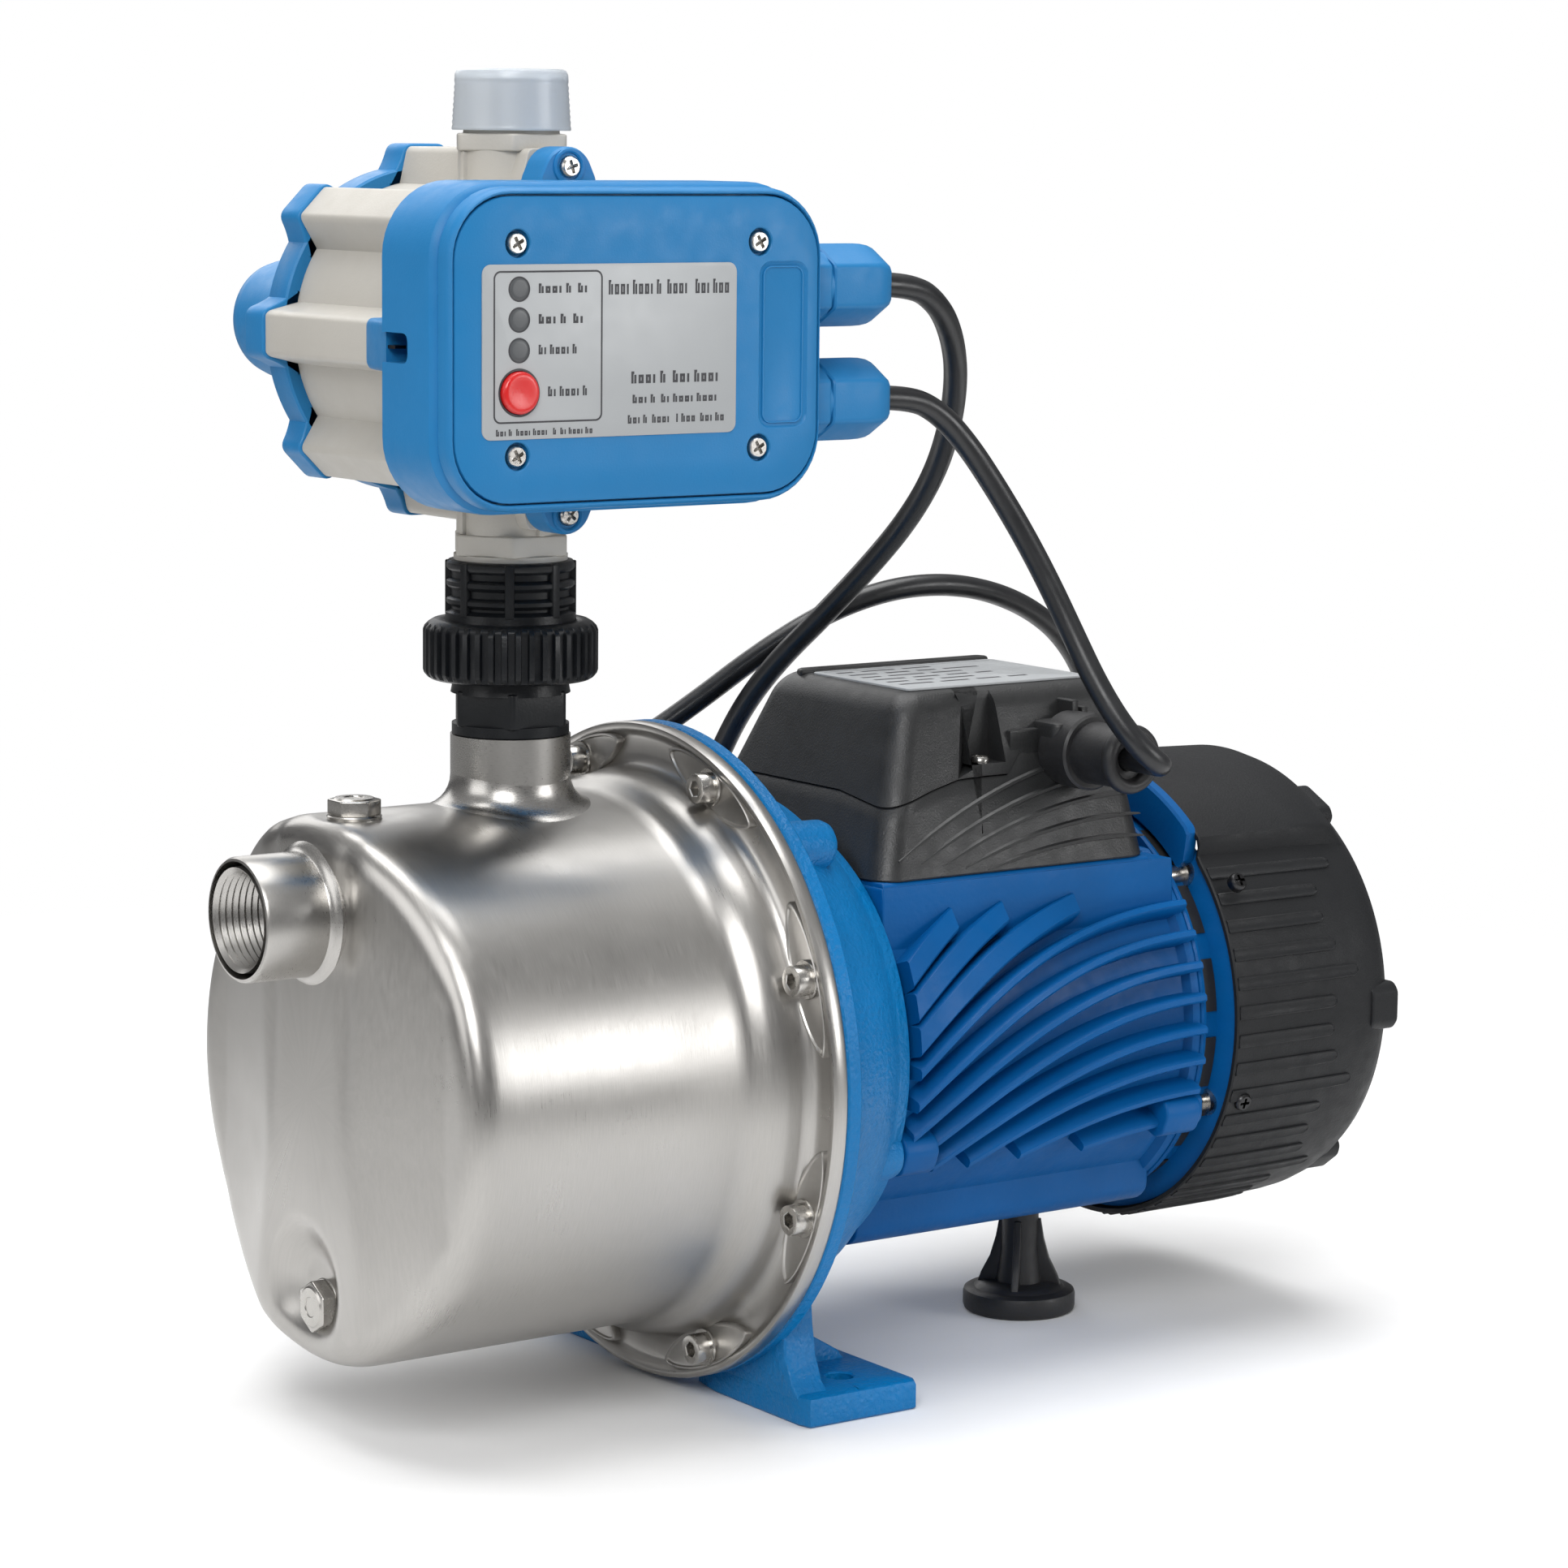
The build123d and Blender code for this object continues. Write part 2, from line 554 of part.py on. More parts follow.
with BuildPart() as box_screws:
    for side in (-1, 1):
        rod_z(206, 209, 3.6, 74, side * 41)
        rod_z(190, 206, 1.65, 74, side * 41)

with BuildPart() as nameplate:
    block(49, 127, -33, 22, BOX_TOP_Z, BOX_TOP_Z + 0.6)

with BuildPart() as capacitor:
    rod_x(50, 110, 14.0, 16, 187.9)
    rod_x(110, 113, 3.0, 11, 187.9)
    rod_x(110, 113, 3.0, 21, 187.9)

with BuildPart() as terminal_block:
    block(84, 124, -24, -8, 173.5, 188)
    for k in range(4):
        rod_z(182, 192, 2.6, 89 + 10 * k, -16, Mode.SUBTRACT)

with BuildPart() as box_gland:
    rod_y(-60, -55, 13.0, BOX_GLAND[0], BOX_GLAND[1])
    rod_y(-78, -58, 10.5, BOX_GLAND[0], BOX_GLAND[1])
    rod_y(-82, -77, 11.5, BOX_GLAND[0], BOX_GLAND[1])
    rod_y(-83, -54, CORD_R, BOX_GLAND[0], BOX_GLAND[1], Mode.SUBTRACT)
    with Locations(Location((BOX_GLAND[0], -82, BOX_GLAND[1]), (-90, 0, 0))):
        Cone(5.4, CORD_R, 4.0, align=BASE, mode=Mode.SUBTRACT)

# ---- union between pump and controller -----------------------------------------------------
with BuildPart() as union_adapter:
    rod_z(206, STUB_TOP, PORT_MAJOR_R)
    rod_z(STUB_TOP, 226, 19.0)
    hexagon(Plane.XY.offset(226), 35.0, 11.0, (STACK_X, 0))
    rod_z(237, 243, 19.0)
    rod_z(243, 247, 24.0)
    rod_z(205, 250, 12.5, mode=Mode.SUBTRACT)

with BuildPart() as union_tail:
    rod_z(247.1, 252, 24.0)
    rod_z(252, 279, 19.3)
    for rib_z in (265.7, 271.5, 277.0):
        rod_z(rib_z - 1.2, rib_z + 1.2, 20.8)
    with BuildSketch(Plane.XY.offset(262)):
        with Locations((STACK_X, 0)):
            with PolarLocations(19.6, 8):
                Rectangle(2.4, 3)
    extrude(amount=16.8)
    rod_z(246, 280, 12.5, mode=Mode.SUBTRACT)
    rod_z(262, 280, PORT_MAJOR_R + FIT, mode=Mode.SUBTRACT)

with BuildPart() as union_nut:
    rod_z(240.5, 259.5, 27.6)
    with BuildSketch(Plane.XY.offset(242)):
        with Locations((STACK_X, 0)):
            with PolarLocations(27.6, 40):
                Circle(0.9)
    extrude(amount=16)
    rod_z(240, 253, 24.3, mode=Mode.SUBTRACT)
    rod_z(252, 260, 19.7, mode=Mode.SUBTRACT)

# ---- controller ----------------------------------------------------------------------------
with BuildPart() as controller_body:
    rod_y(-37, RING_Y0, CTRL_BODY_R)
    with BuildSketch(facing(RING_Y0)):
        with PolarLocations(RIB_R - 10, 4):
            RectangleRounded(20, 2 * RIB_HALF, 3)
    extrude(amount=RING_Y0 + 22)
    with BuildSketch(facing(RING_Y0)):
        with PolarLocations(RIB_R - 10, 4, start_angle=45):
            RectangleRounded(20, 2 * RIB_HALF, 3)
    extrude(amount=RING_Y0 + 36.9)
    rod_z(287.5, 310, 17.5)
    rod_z(390, 409, 17.0)
    hexagon(Plane.XY.offset(280.6), 35.3, 6.9, (STACK_X, 0))
    hexagon(Plane.XY.offset(409), 34.4, 5.5, (STACK_X, 0))
    rod_z(264, 280.6, PORT_MAJOR_R)
    rod_z(414.5, 433, PORT_MAJOR_R)
    rod_z(298, 440, 12.3, mode=Mode.SUBTRACT)
    rod_z(260, 300, 9.0, mode=Mode.SUBTRACT)
    rod_y(30, 55, 40.0, mode=Mode.SUBTRACT)
    rod_y(10, 35, 6.0, mode=Mode.SUBTRACT)
    rod_y(-38, -20, 42.0, mode=Mode.SUBTRACT)
    block(STACK_X - 12.3, STACK_X + 12.3, -2.5, 2.5, 322, 325)
    for k in range(8):
        turn = math.radians(45 * k)
        rod_y(44, 54, 1.8, STACK_X + 54.5 * math.cos(turn), CTRL_Z + 54.5 * math.sin(turn),
              Mode.SUBTRACT)
    for k in range(4):
        turn = math.radians(90 * k)
        rod_y(-23, -10, 1.8, STACK_X + 54.5 * math.cos(turn), CTRL_Z + 54.5 * math.sin(turn),
              Mode.SUBTRACT)

with BuildPart() as check_valve:
    rod_z(298, 301, 11.8)
    rod_z(301, 312, 2.2)

with BuildPart() as valve_spring:
    with BuildLine():
        coil_line = Helix(pitch=3.4, height=19.0, radius=7.0, center=(STACK_X, 0, 302))
    with BuildSketch(Plane(origin=coil_line @ 0, z_dir=coil_line % 0)):
        Circle(0.7)
    sweep(path=coil_line)

with BuildPart() as diaphragm:
    rod_y(RING_Y0, RING_Y0 + 2, 46.8)

with BuildPart() as diaphragm_spring:
    with BuildLine():
        long_coil = Helix(pitch=9.0, height=72.0, radius=12.0,
                          center=(STACK_X, RING_Y0 + 4, CTRL_Z), direction=(0, 1, 0))
    with BuildSketch(Plane(origin=long_coil @ 0, z_dir=long_coil % 0)):
        Circle(1.1)
    sweep(path=long_coil)

with BuildPart() as rear_cover:
    with BuildSketch(Plane(origin=(STACK_X, 0, CTRL_Z), x_dir=(0, 1, 0), z_dir=(1, 0, 0))):
        with BuildLine():
            Polyline((142, 20.5), (84, 20.5), (78, 26), (71, 44), (65, 50), (65, 53.5), (53, 53.5))
            Polyline((53, 53.5), (53, 47), (55, 47), (55, 42), (62, 42), (80, 16), (142, 16))
            Polyline((142, 16), (151, 0), (156, 0))
            ThreePointArc((156, 0), (152.5, 13.5), (142, 20.5))
        make_face()
    revolve(axis=Axis((STACK_X, 0, CTRL_Z), (0, 1, 0)))
    with BuildSketch(facing(RING_Y1)):
        with PolarLocations(RIB_R - 5.5, 8):
            RectangleRounded(13, 2 * RIB_HALF + 3, 3)
    extrude(amount=RING_Y1 - RING_Y0)
    for k in range(8):
        turn = math.radians(45 * k)
        rod_y(50, 70, 2.2, STACK_X + 54.5 * math.cos(turn), CTRL_Z + 54.5 * math.sin(turn),
              Mode.SUBTRACT)

with BuildPart() as controller_housing:
    with BuildSketch(facing(-37)):
        RectangleRounded(2 * CTRL_HALF_X, 2 * CTRL_HALF_Z, 23)
    extrude(amount=30)
    with BuildSketch(facing(-66)):
        RectangleRounded(2 * CTRL_HALF_X - 3, 2 * CTRL_HALF_Z - 3, 22)
    extrude(amount=9)
    for k in range(4):
        turn = math.radians(90 * k)
        rod_y(-37, -22.1, 9.5, STACK_X + 50.5 * math.cos(turn), CTRL_Z + 50.5 * math.sin(turn))
        rod_y(-37, -22.1, 8.0, STACK_X + 52 * math.cos(turn), CTRL_Z + 52 * math.sin(turn))
    with BuildSketch(facing(-40)):
        RectangleRounded(2 * CTRL_HALF_X - 6, 2 * CTRL_HALF_Z - 6, 20)
    extrude(amount=32, mode=Mode.SUBTRACT)
    with BuildSketch(facing(-71.9)):
        RectangleRounded(134.2, 93, 20)
    extrude(amount=5, mode=Mode.SUBTRACT)
    rod_y(-42, -15, CTRL_BODY_R + 0.3, mode=Mode.SUBTRACT)
    with BuildSketch(facing(-60)):
        with GridLocations(89, 64, 2, 2):
            Circle(4.5)
        with GridLocations(112, 64, 2, 2):
            Rectangle(25, 3)
    extrude(amount=11.9)
    with BuildSketch(facing(-60)):
        with GridLocations(89, 64, 2, 2):
            Circle(1.6)
    extrude(amount=12, mode=Mode.SUBTRACT)
    for k in range(4):
        turn = math.radians(90 * k)
        lug_x = STACK_X + 54.5 * math.cos(turn)
        lug_z = CTRL_Z + 54.5 * math.sin(turn)
        rod_y(-39, -20, 2.2, lug_x, lug_z, Mode.SUBTRACT)
        rod_y(-62, -34, 5.0, lug_x, lug_z, Mode.SUBTRACT)
    for gland_z in GLAND_Z:
        rod_x(-22, -10, 9.0 + FIT, GLAND_Y, gland_z, Mode.SUBTRACT)

with BuildPart() as controller_lid:
    with BuildSketch(facing(-72)):
        RectangleRounded(133.6, 92.4, 19.7)
    extrude(amount=3)
    fillet(controller_lid.faces().sort_by(Axis.Y)[0].outer_wire().edges(), radius=1.2)
    with BuildSketch(facing(-70)):
        with GridLocations(89, 64, 2, 2):
            Circle(2.3)
        with Locations((-44.3, -12.7)):
            Circle(6.9)
        with Locations((-44.3, 0), (-44.3, 9.2), (-44.3, 18.4)):
            Circle(3.5)
    extrude(amount=7, mode=Mode.SUBTRACT)
    with BuildSketch(facing(LID_Y + 0.8)):
        with Locations((53.5, 0)):
            RectangleRounded(17.5, 51, 4)
            RectangleRounded(15.5, 49, 3, mode=Mode.SUBTRACT)
    extrude(amount=2, mode=Mode.SUBTRACT)

with BuildPart() as control_label:
    with BuildSketch(facing(LID_Y)):
        with Locations((-11, -0.5)):
            RectangleRounded(92.7, 52.6, 3)
        with Locations((-44.3, -12.7)):
            Circle(7.0, mode=Mode.SUBTRACT)
        with Locations((-44.3, 0), (-44.3, 9.2), (-44.3, 18.4)):
            Circle(3.6, mode=Mode.SUBTRACT)
    extrude(amount=0.4)

with BuildPart() as restart_button:
    rod_y(-77.4, -71, 6.6, STACK_X - 44.3, CTRL_Z - 12.7)
    rod_y(-71, -66, 2.5, STACK_X - 44.3, CTRL_Z - 12.7)

with BuildPart() as indicator_leds:
    for k in range(3):
        rod_y(-75.6, -63.1, 3.4, STACK_X - 44.3, CTRL_Z + 9.2 * k)

with BuildPart() as circuit_board:
    block(STACK_X - 55, STACK_X + 50, -61.6, -60.1, CTRL_Z - 24, CTRL_Z + 24)
    block(STACK_X - 47.5, STACK_X - 41.1, -63.6, -61.6, CTRL_Z - 15.9, CTRL_Z - 9.5)
    for k in range(3):
        rod_y(-63, -61.6, 2.6, STACK_X - 44.3, CTRL_Z + 9.2 * k)
    block(STACK_X - 5, STACK_X + 14, -60.1, -45, CTRL_Z - 8, CTRL_Z + 8)
    rod_y(-60.1, -46, 6.0, STACK_X - 24, CTRL_Z + 6)
    block(STACK_X + 26, STACK_X + 36, -60.1, -50, CTRL_Z - 22, CTRL_Z + 22)

with BuildPart() as controller_screws:
    for lid_x in (-44.5, 44.5):
        for lid_z in (-32, 32):
            rod_y(-77, -75, 3.6, STACK_X + lid_x, CTRL_Z + lid_z)
            rod_y(-75, -62, 1.55, STACK_X + lid_x, CTRL_Z + lid_z)
    for k in range(4):
        turn = math.radians(90 * k)
        screw_x = STACK_X + 54.5 * math.cos(turn)
        screw_z = CTRL_Z + 54.5 * math.sin(turn)
        rod_y(-36.4, -34, 3.6, screw_x, screw_z)
        rod_y(-34, -12, 1.75, screw_x, screw_z)
    for k in range(8):
        turn = math.radians(45 * k)
        screw_x = STACK_X + 54.5 * math.cos(turn)
        screw_z = CTRL_Z + 54.5 * math.sin(turn)
        rod_y(RING_Y1, RING_Y1 + 2.4, 3.6, screw_x, screw_z)
        rod_y(46, RING_Y1, 1.75, screw_x, screw_z)

with BuildPart() as cable_glands:
    for gland_z in GLAND_Z:
        rod_x(-21, -15, 9.0, GLAND_Y, gland_z)
        with BuildSketch(Plane(origin=(-15, GLAND_Y, gland_z), x_dir=(0, 1, 0), z_dir=(1, 0, 0))):
            RegularPolygon(12, 6, major_radius=False, rotation=30)
        extrude(amount=20)
        with Locations(Location((5, GLAND_Y, gland_z), (0, 90, 0))):
            Cone(11.8, 7.0, GLAND_END_X - 5, align=BASE)
        rod_x(-22, GLAND_END_X + 1, CORD_R, GLAND_Y, gland_z, Mode.SUBTRACT)

with BuildPart() as thread_cap:
    with Locations((STACK_X, 0, 415.5)):
        Cone(19.0, 17.9, 19.3, align=BASE)
    rod_z(414, 433.6, PORT_MAJOR_R + 0.3, mode=Mode.SUBTRACT)

# ---- cables --------------------------------------------------------------------------------
LEAD_ROUTE = [
    (14, -56, 367.5), (31, -56, 367.5), (44.5, -53, 360.5), (54.5, -47.5, 349.5), (63, -39, 336),
    (70, -27, 319), (75, -12, 301), (76.5, 6, 283), (73.5, 25, 265), (68, 43, 247.5),
    (62.5, 61, 231), (59, 77, 213.5), (58, 91, 194), (56, 102, 173), (48.5, 110, 153),
    (35, 114.5, 137), (17, 116.5, 129), (-1, 117, 133), (-13, 116, 147), (-14.5, 113.5, 164),
    (-5, 110, 178), (10, 105, 189), (28, 98.5, 199.5), (47.5, 90, 214), (67.5, 80, 231),
    (89.5, 70.5, 245.5), (113, 64, 253.5), (138, 62, 254.5), (163, 63.5, 249.5),
    (187, 68, 239.5), (207, 74.5, 225.5), (222.5, 82, 207.5), (233, 89, 186),
    (239, 94.5, 161), (241, 98, 135), (241.5, 101, 108), (239.5, 105, 80), (235.5, 111, 54),
    (228, 119.5, 32), (216.5, 129, 15), (203, 136, 6.4), (188, 139, 5.1),
]
MOTOR_ROUTE = [
    (14, -56, 331), (30.5, -56, 331), (43, -56, 325.5), (53.5, -57.5, 315), (63, -60.5, 301),
    (71.5, -65.5, 285), (78.5, -71.5, 268), (83, -78.5, 252), (86, -86, 238),
    (89.5, -93.5, 226), (94.5, -99.5, 216.5), (101, -101.5, 210.8), (106.4, -97, 209.2),
    (108, -89, 209), (108, -77, 209),
]


def corner_radii(route):
    """The largest arc that each corner's two runs allow."""
    radii = []
    for before, here, after in zip(route, route[1:], route[2:]):
        run_in = Vector(*here) - Vector(*before)
        run_out = Vector(*after) - Vector(*here)
        half_turn = math.radians(run_in.get_angle(run_out)) / 2
        radii.append(0.45 * min(run_in.length, run_out.length) / math.tan(half_turn))
    return radii


def cord_tube(name, route):
    radii = corner_radii(route)
    with BuildPart() as tube:
        with BuildLine() as path:
            FilletPolyline(*route, radius=radii)
        with BuildSketch(Plane(origin=route[0], z_dir=path.line % 0)):
            Circle(CORD_R)
        sweep(path=path.line)
    length = sum(edge.length for edge in path.edges())
    expected = math.pi * CORD_R**2 * length
    print(name, "length", round(length, 1), "tightest", round(min(radii), 1),
          "volume ratio", round(tube.part.volume / expected, 4))
    print("  radii", [round(radius) for radius in radii])
    return tube


mains_lead = cord_tube("mains_lead", LEAD_ROUTE)
motor_cable = cord_tube("motor_cable", MOTOR_ROUTE)

with BuildPart() as mains_coil:
    rod_z(COIL_Z[0], COIL_Z[1], COIL_R + CORD_R, *COIL_AT)
    rod_z(COIL_Z[0], COIL_Z[1], COIL_R - CORD_R, *COIL_AT, mode=Mode.SUBTRACT)
    rod_y(COIL_AT[1], COIL_AT[1] + 30, CORD_R, COIL_AT[0] - COIL_R, COIL_Z[1] - CORD_R)

with BuildPart() as coil_tie:
    with BuildSketch(Plane.XZ.offset(-COIL_AT[1])):
        with Locations((COIL_AT[0] + COIL_R, 9.5)):
            Rectangle(10.0, 18.4)
            Rectangle(8.6, 17.2, mode=Mode.SUBTRACT)
    extrude(amount=3.5, both=True)

PLUG_X0 = COIL_AT[0] - COIL_R
with BuildPart() as mains_plug:
    with BuildSketch(Plane.XZ.offset(-(COIL_AT[1] + 30))):
        with Locations((PLUG_X0, COIL_Z[1] - CORD_R)):
            Circle(5.0)
    with BuildSketch(Plane.XZ.offset(-(COIL_AT[1] + 54))):
        with Locations((PLUG_X0, 16)):
            Circle(7.5)
    with BuildSketch(Plane.XZ.offset(-(COIL_AT[1] + 66))):
        with Locations((PLUG_X0, 18.5)):
            Circle(18.3)
    loft()
    rod_y(COIL_AT[1] + 66, COIL_AT[1] + 80, 18.3, PLUG_X0, 18.5)
    rod_y(COIL_AT[1] + 80, COIL_AT[1] + 99, 2.4, PLUG_X0 - 9.5, 18.5)
    rod_y(COIL_AT[1] + 80, COIL_AT[1] + 99, 2.4, PLUG_X0 + 9.5, 18.5)

# ---- write every piece ------------------------------------------------------------------------
PIECES = {
    "pump_casing": pump_casing,
    "suction_port": suction_port,
    "discharge_port": discharge_port,
    "priming_plug": priming_plug,
    "drain_plug": drain_plug,
    "flange_pads": flange_pads,
    "flange_bolts": flange_bolts,
    "casing_oring": casing_oring,
    "ejector_body": ejector_body,
    "ejector_nozzle": ejector_nozzle,
    "venturi_tube": venturi_tube,
    "diffuser": diffuser,
    "impeller": impeller,
    "impeller_nut": impeller_nut,
    "seal_rotating": seal_rotating,
    "seal_stationary": seal_stationary,
    "seal_plate": seal_plate,
    "motor_bracket": motor_bracket,
    "motor_bolts": motor_bolts,
    "rotor_shaft": rotor_shaft,
    "rotor_core": rotor_core,
    "ball_bearings": ball_bearings,
    "stator_core": stator_core,
    "stator_winding": stator_winding,
    "motor_housing": motor_housing,
    "rear_end_shield": rear_end_shield,
    "cooling_fan": cooling_fan,
    "fan_cover": fan_cover,
    "fan_cover_screws": fan_cover_screws,
    "support_foot": support_foot,
    "terminal_box_base": terminal_box_base,
    "terminal_box_cover": terminal_box_cover,
    "box_screws": box_screws,
    "nameplate": nameplate,
    "capacitor": capacitor,
    "terminal_block": terminal_block,
    "box_gland": box_gland,
    "union_adapter": union_adapter,
    "union_tail": union_tail,
    "union_nut": union_nut,
    "controller_body": controller_body,
    "check_valve": check_valve,
    "valve_spring": valve_spring,
    "diaphragm": diaphragm,
    "diaphragm_spring": diaphragm_spring,
    "rear_cover": rear_cover,
    "controller_housing": controller_housing,
    "controller_lid": controller_lid,
    "control_label": control_label,
    "restart_button": restart_button,
    "indicator_leds": indicator_leds,
    "circuit_board": circuit_board,
    "controller_screws": controller_screws,
    "cable_glands": cable_glands,
    "thread_cap": thread_cap,
    "motor_cable": motor_cable,
    "mains_lead": mains_lead,
    "mains_coil": mains_coil,
    "coil_tie": coil_tie,
    "mains_plug": mains_plug,
}
for label, piece in PIECES.items():
    piece.part.label = label
    export_step(piece.part, f"parts/{label}.step")
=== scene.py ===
import math

import bmesh
import bpy
from mathutils import Matrix, Vector


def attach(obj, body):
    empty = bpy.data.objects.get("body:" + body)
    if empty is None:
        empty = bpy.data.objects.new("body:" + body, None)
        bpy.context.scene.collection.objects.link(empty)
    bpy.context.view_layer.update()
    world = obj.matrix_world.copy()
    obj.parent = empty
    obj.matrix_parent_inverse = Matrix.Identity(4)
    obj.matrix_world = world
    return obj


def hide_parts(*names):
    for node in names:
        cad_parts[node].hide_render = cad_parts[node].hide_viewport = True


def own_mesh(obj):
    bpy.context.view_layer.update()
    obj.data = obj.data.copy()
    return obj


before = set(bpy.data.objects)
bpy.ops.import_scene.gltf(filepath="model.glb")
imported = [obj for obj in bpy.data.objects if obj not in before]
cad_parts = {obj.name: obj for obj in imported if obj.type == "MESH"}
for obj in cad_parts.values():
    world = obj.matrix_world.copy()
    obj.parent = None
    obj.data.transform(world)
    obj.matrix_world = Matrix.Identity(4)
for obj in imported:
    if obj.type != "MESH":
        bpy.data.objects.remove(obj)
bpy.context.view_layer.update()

# Shallow well jet pump. Shapes are drawn in millimetres in the row frame and scaled
# to metres when they become meshes.
MM = 0.001
AXIS_Z = 112.0            # shaft height
STACK_X = -87.0           # upright axis of outlet, union and controller
CTRL_Z = 350.0
TAU = math.tau


# ---- small helpers -----------------------------------------------------------------
def columns(x_dir, y_dir, z_dir, origin):
    """A matrix whose axes and origin are given in the row frame."""
    matrix = Matrix((x_dir, y_dir, z_dir)).transposed().to_4x4()
    matrix.translation = Vector(origin)
    return matrix


def upright(x=0, y=0, z=0):
    """A frame whose z axis is the row's Z."""
    return columns((1, 0, 0), (0, 1, 0), (0, 0, 1), (x, y, z))


def lengthwise(x=0, y=0, z=0):
    """A frame whose z axis is the row's X; its x and y are the row's Y and Z."""
    return columns((0, 1, 0), (0, 0, 1), (1, 0, 0), (x, y, z))


def crosswise(x=0, y=0, z=0):
    """A frame whose z axis is the row's -Y; its x and y are the row's X and Z."""
    return columns((1, 0, 0), (0, 0, 1), (0, -1, 0), (x, y, z))


def turned(base, angle_deg, reach=0):
    """The base frame turned about its z axis, then moved out along its new x axis."""
    return base @ Matrix.Rotation(math.radians(angle_deg), 4, "Z") @ Matrix.Translation((reach, 0, 0))


UP = upright()
SHAFT = lengthwise(z=AXIS_Z)
STACK = upright(STACK_X)
CTRL = crosswise(STACK_X, 0, CTRL_Z)


def polar(radius, angle_deg):
    turn = math.radians(angle_deg)
    return radius * math.cos(turn), radius * math.sin(turn)


def smoothstep(low, high, value):
    share = min(1.0, max(0.0, (value - low) / (high - low)))
    return share * share * (3 - 2 * share)


def mix(a, b, share):
    return a + (b - a) * share


def rounded(points, radius, steps=4):
    """The closed outline with each corner replaced by an arc-like curve of that radius."""
    count = len(points)
    result = []
    for i, point in enumerate(points):
        here = Vector(point)
        before = Vector(points[i - 1]) - here
        after = Vector(points[(i + 1) % count]) - here
        size = radius[i] if isinstance(radius, (list, tuple)) else radius
        reach = min(size, before.length * 0.45, after.length * 0.45)
        if reach < 0.02:
            result.append(point)
            continue
        start = here + before.normalized() * reach
        end = here + after.normalized() * reach
        for k in range(steps + 1):
            t = k / steps
            result.append(tuple(start * (1 - t) ** 2 + here * 2 * t * (1 - t) + end * t * t))
    return result


def round_rect(width, height, radius, steps=8, centre=(0, 0)):
    """A rectangle with round corners, counter-clockwise."""
    points = []
    for corner, (sx, sy) in enumerate(((1, 1), (-1, 1), (-1, -1), (1, -1))):
        for k in range(steps + 1):
            angle = math.radians(90 * corner + 90 * k / steps)
            points.append((
                centre[0] + sx * (width / 2 - radius) + radius * math.cos(angle),
                centre[1] + sy * (height / 2 - radius) + radius * math.sin(angle),
            ))
    return points


def regular(count, radius, start_deg=0, centre=(0, 0)):
    return [
        (centre[0] + polar(radius, start_deg + 360 * k / count)[0],
         centre[1] + polar(radius, start_deg + 360 * k / count)[1])
        for k in range(count)
    ]


def level(points, z):
    """The flat outline at height z."""
    return [(x, y, z) for x, y in points]


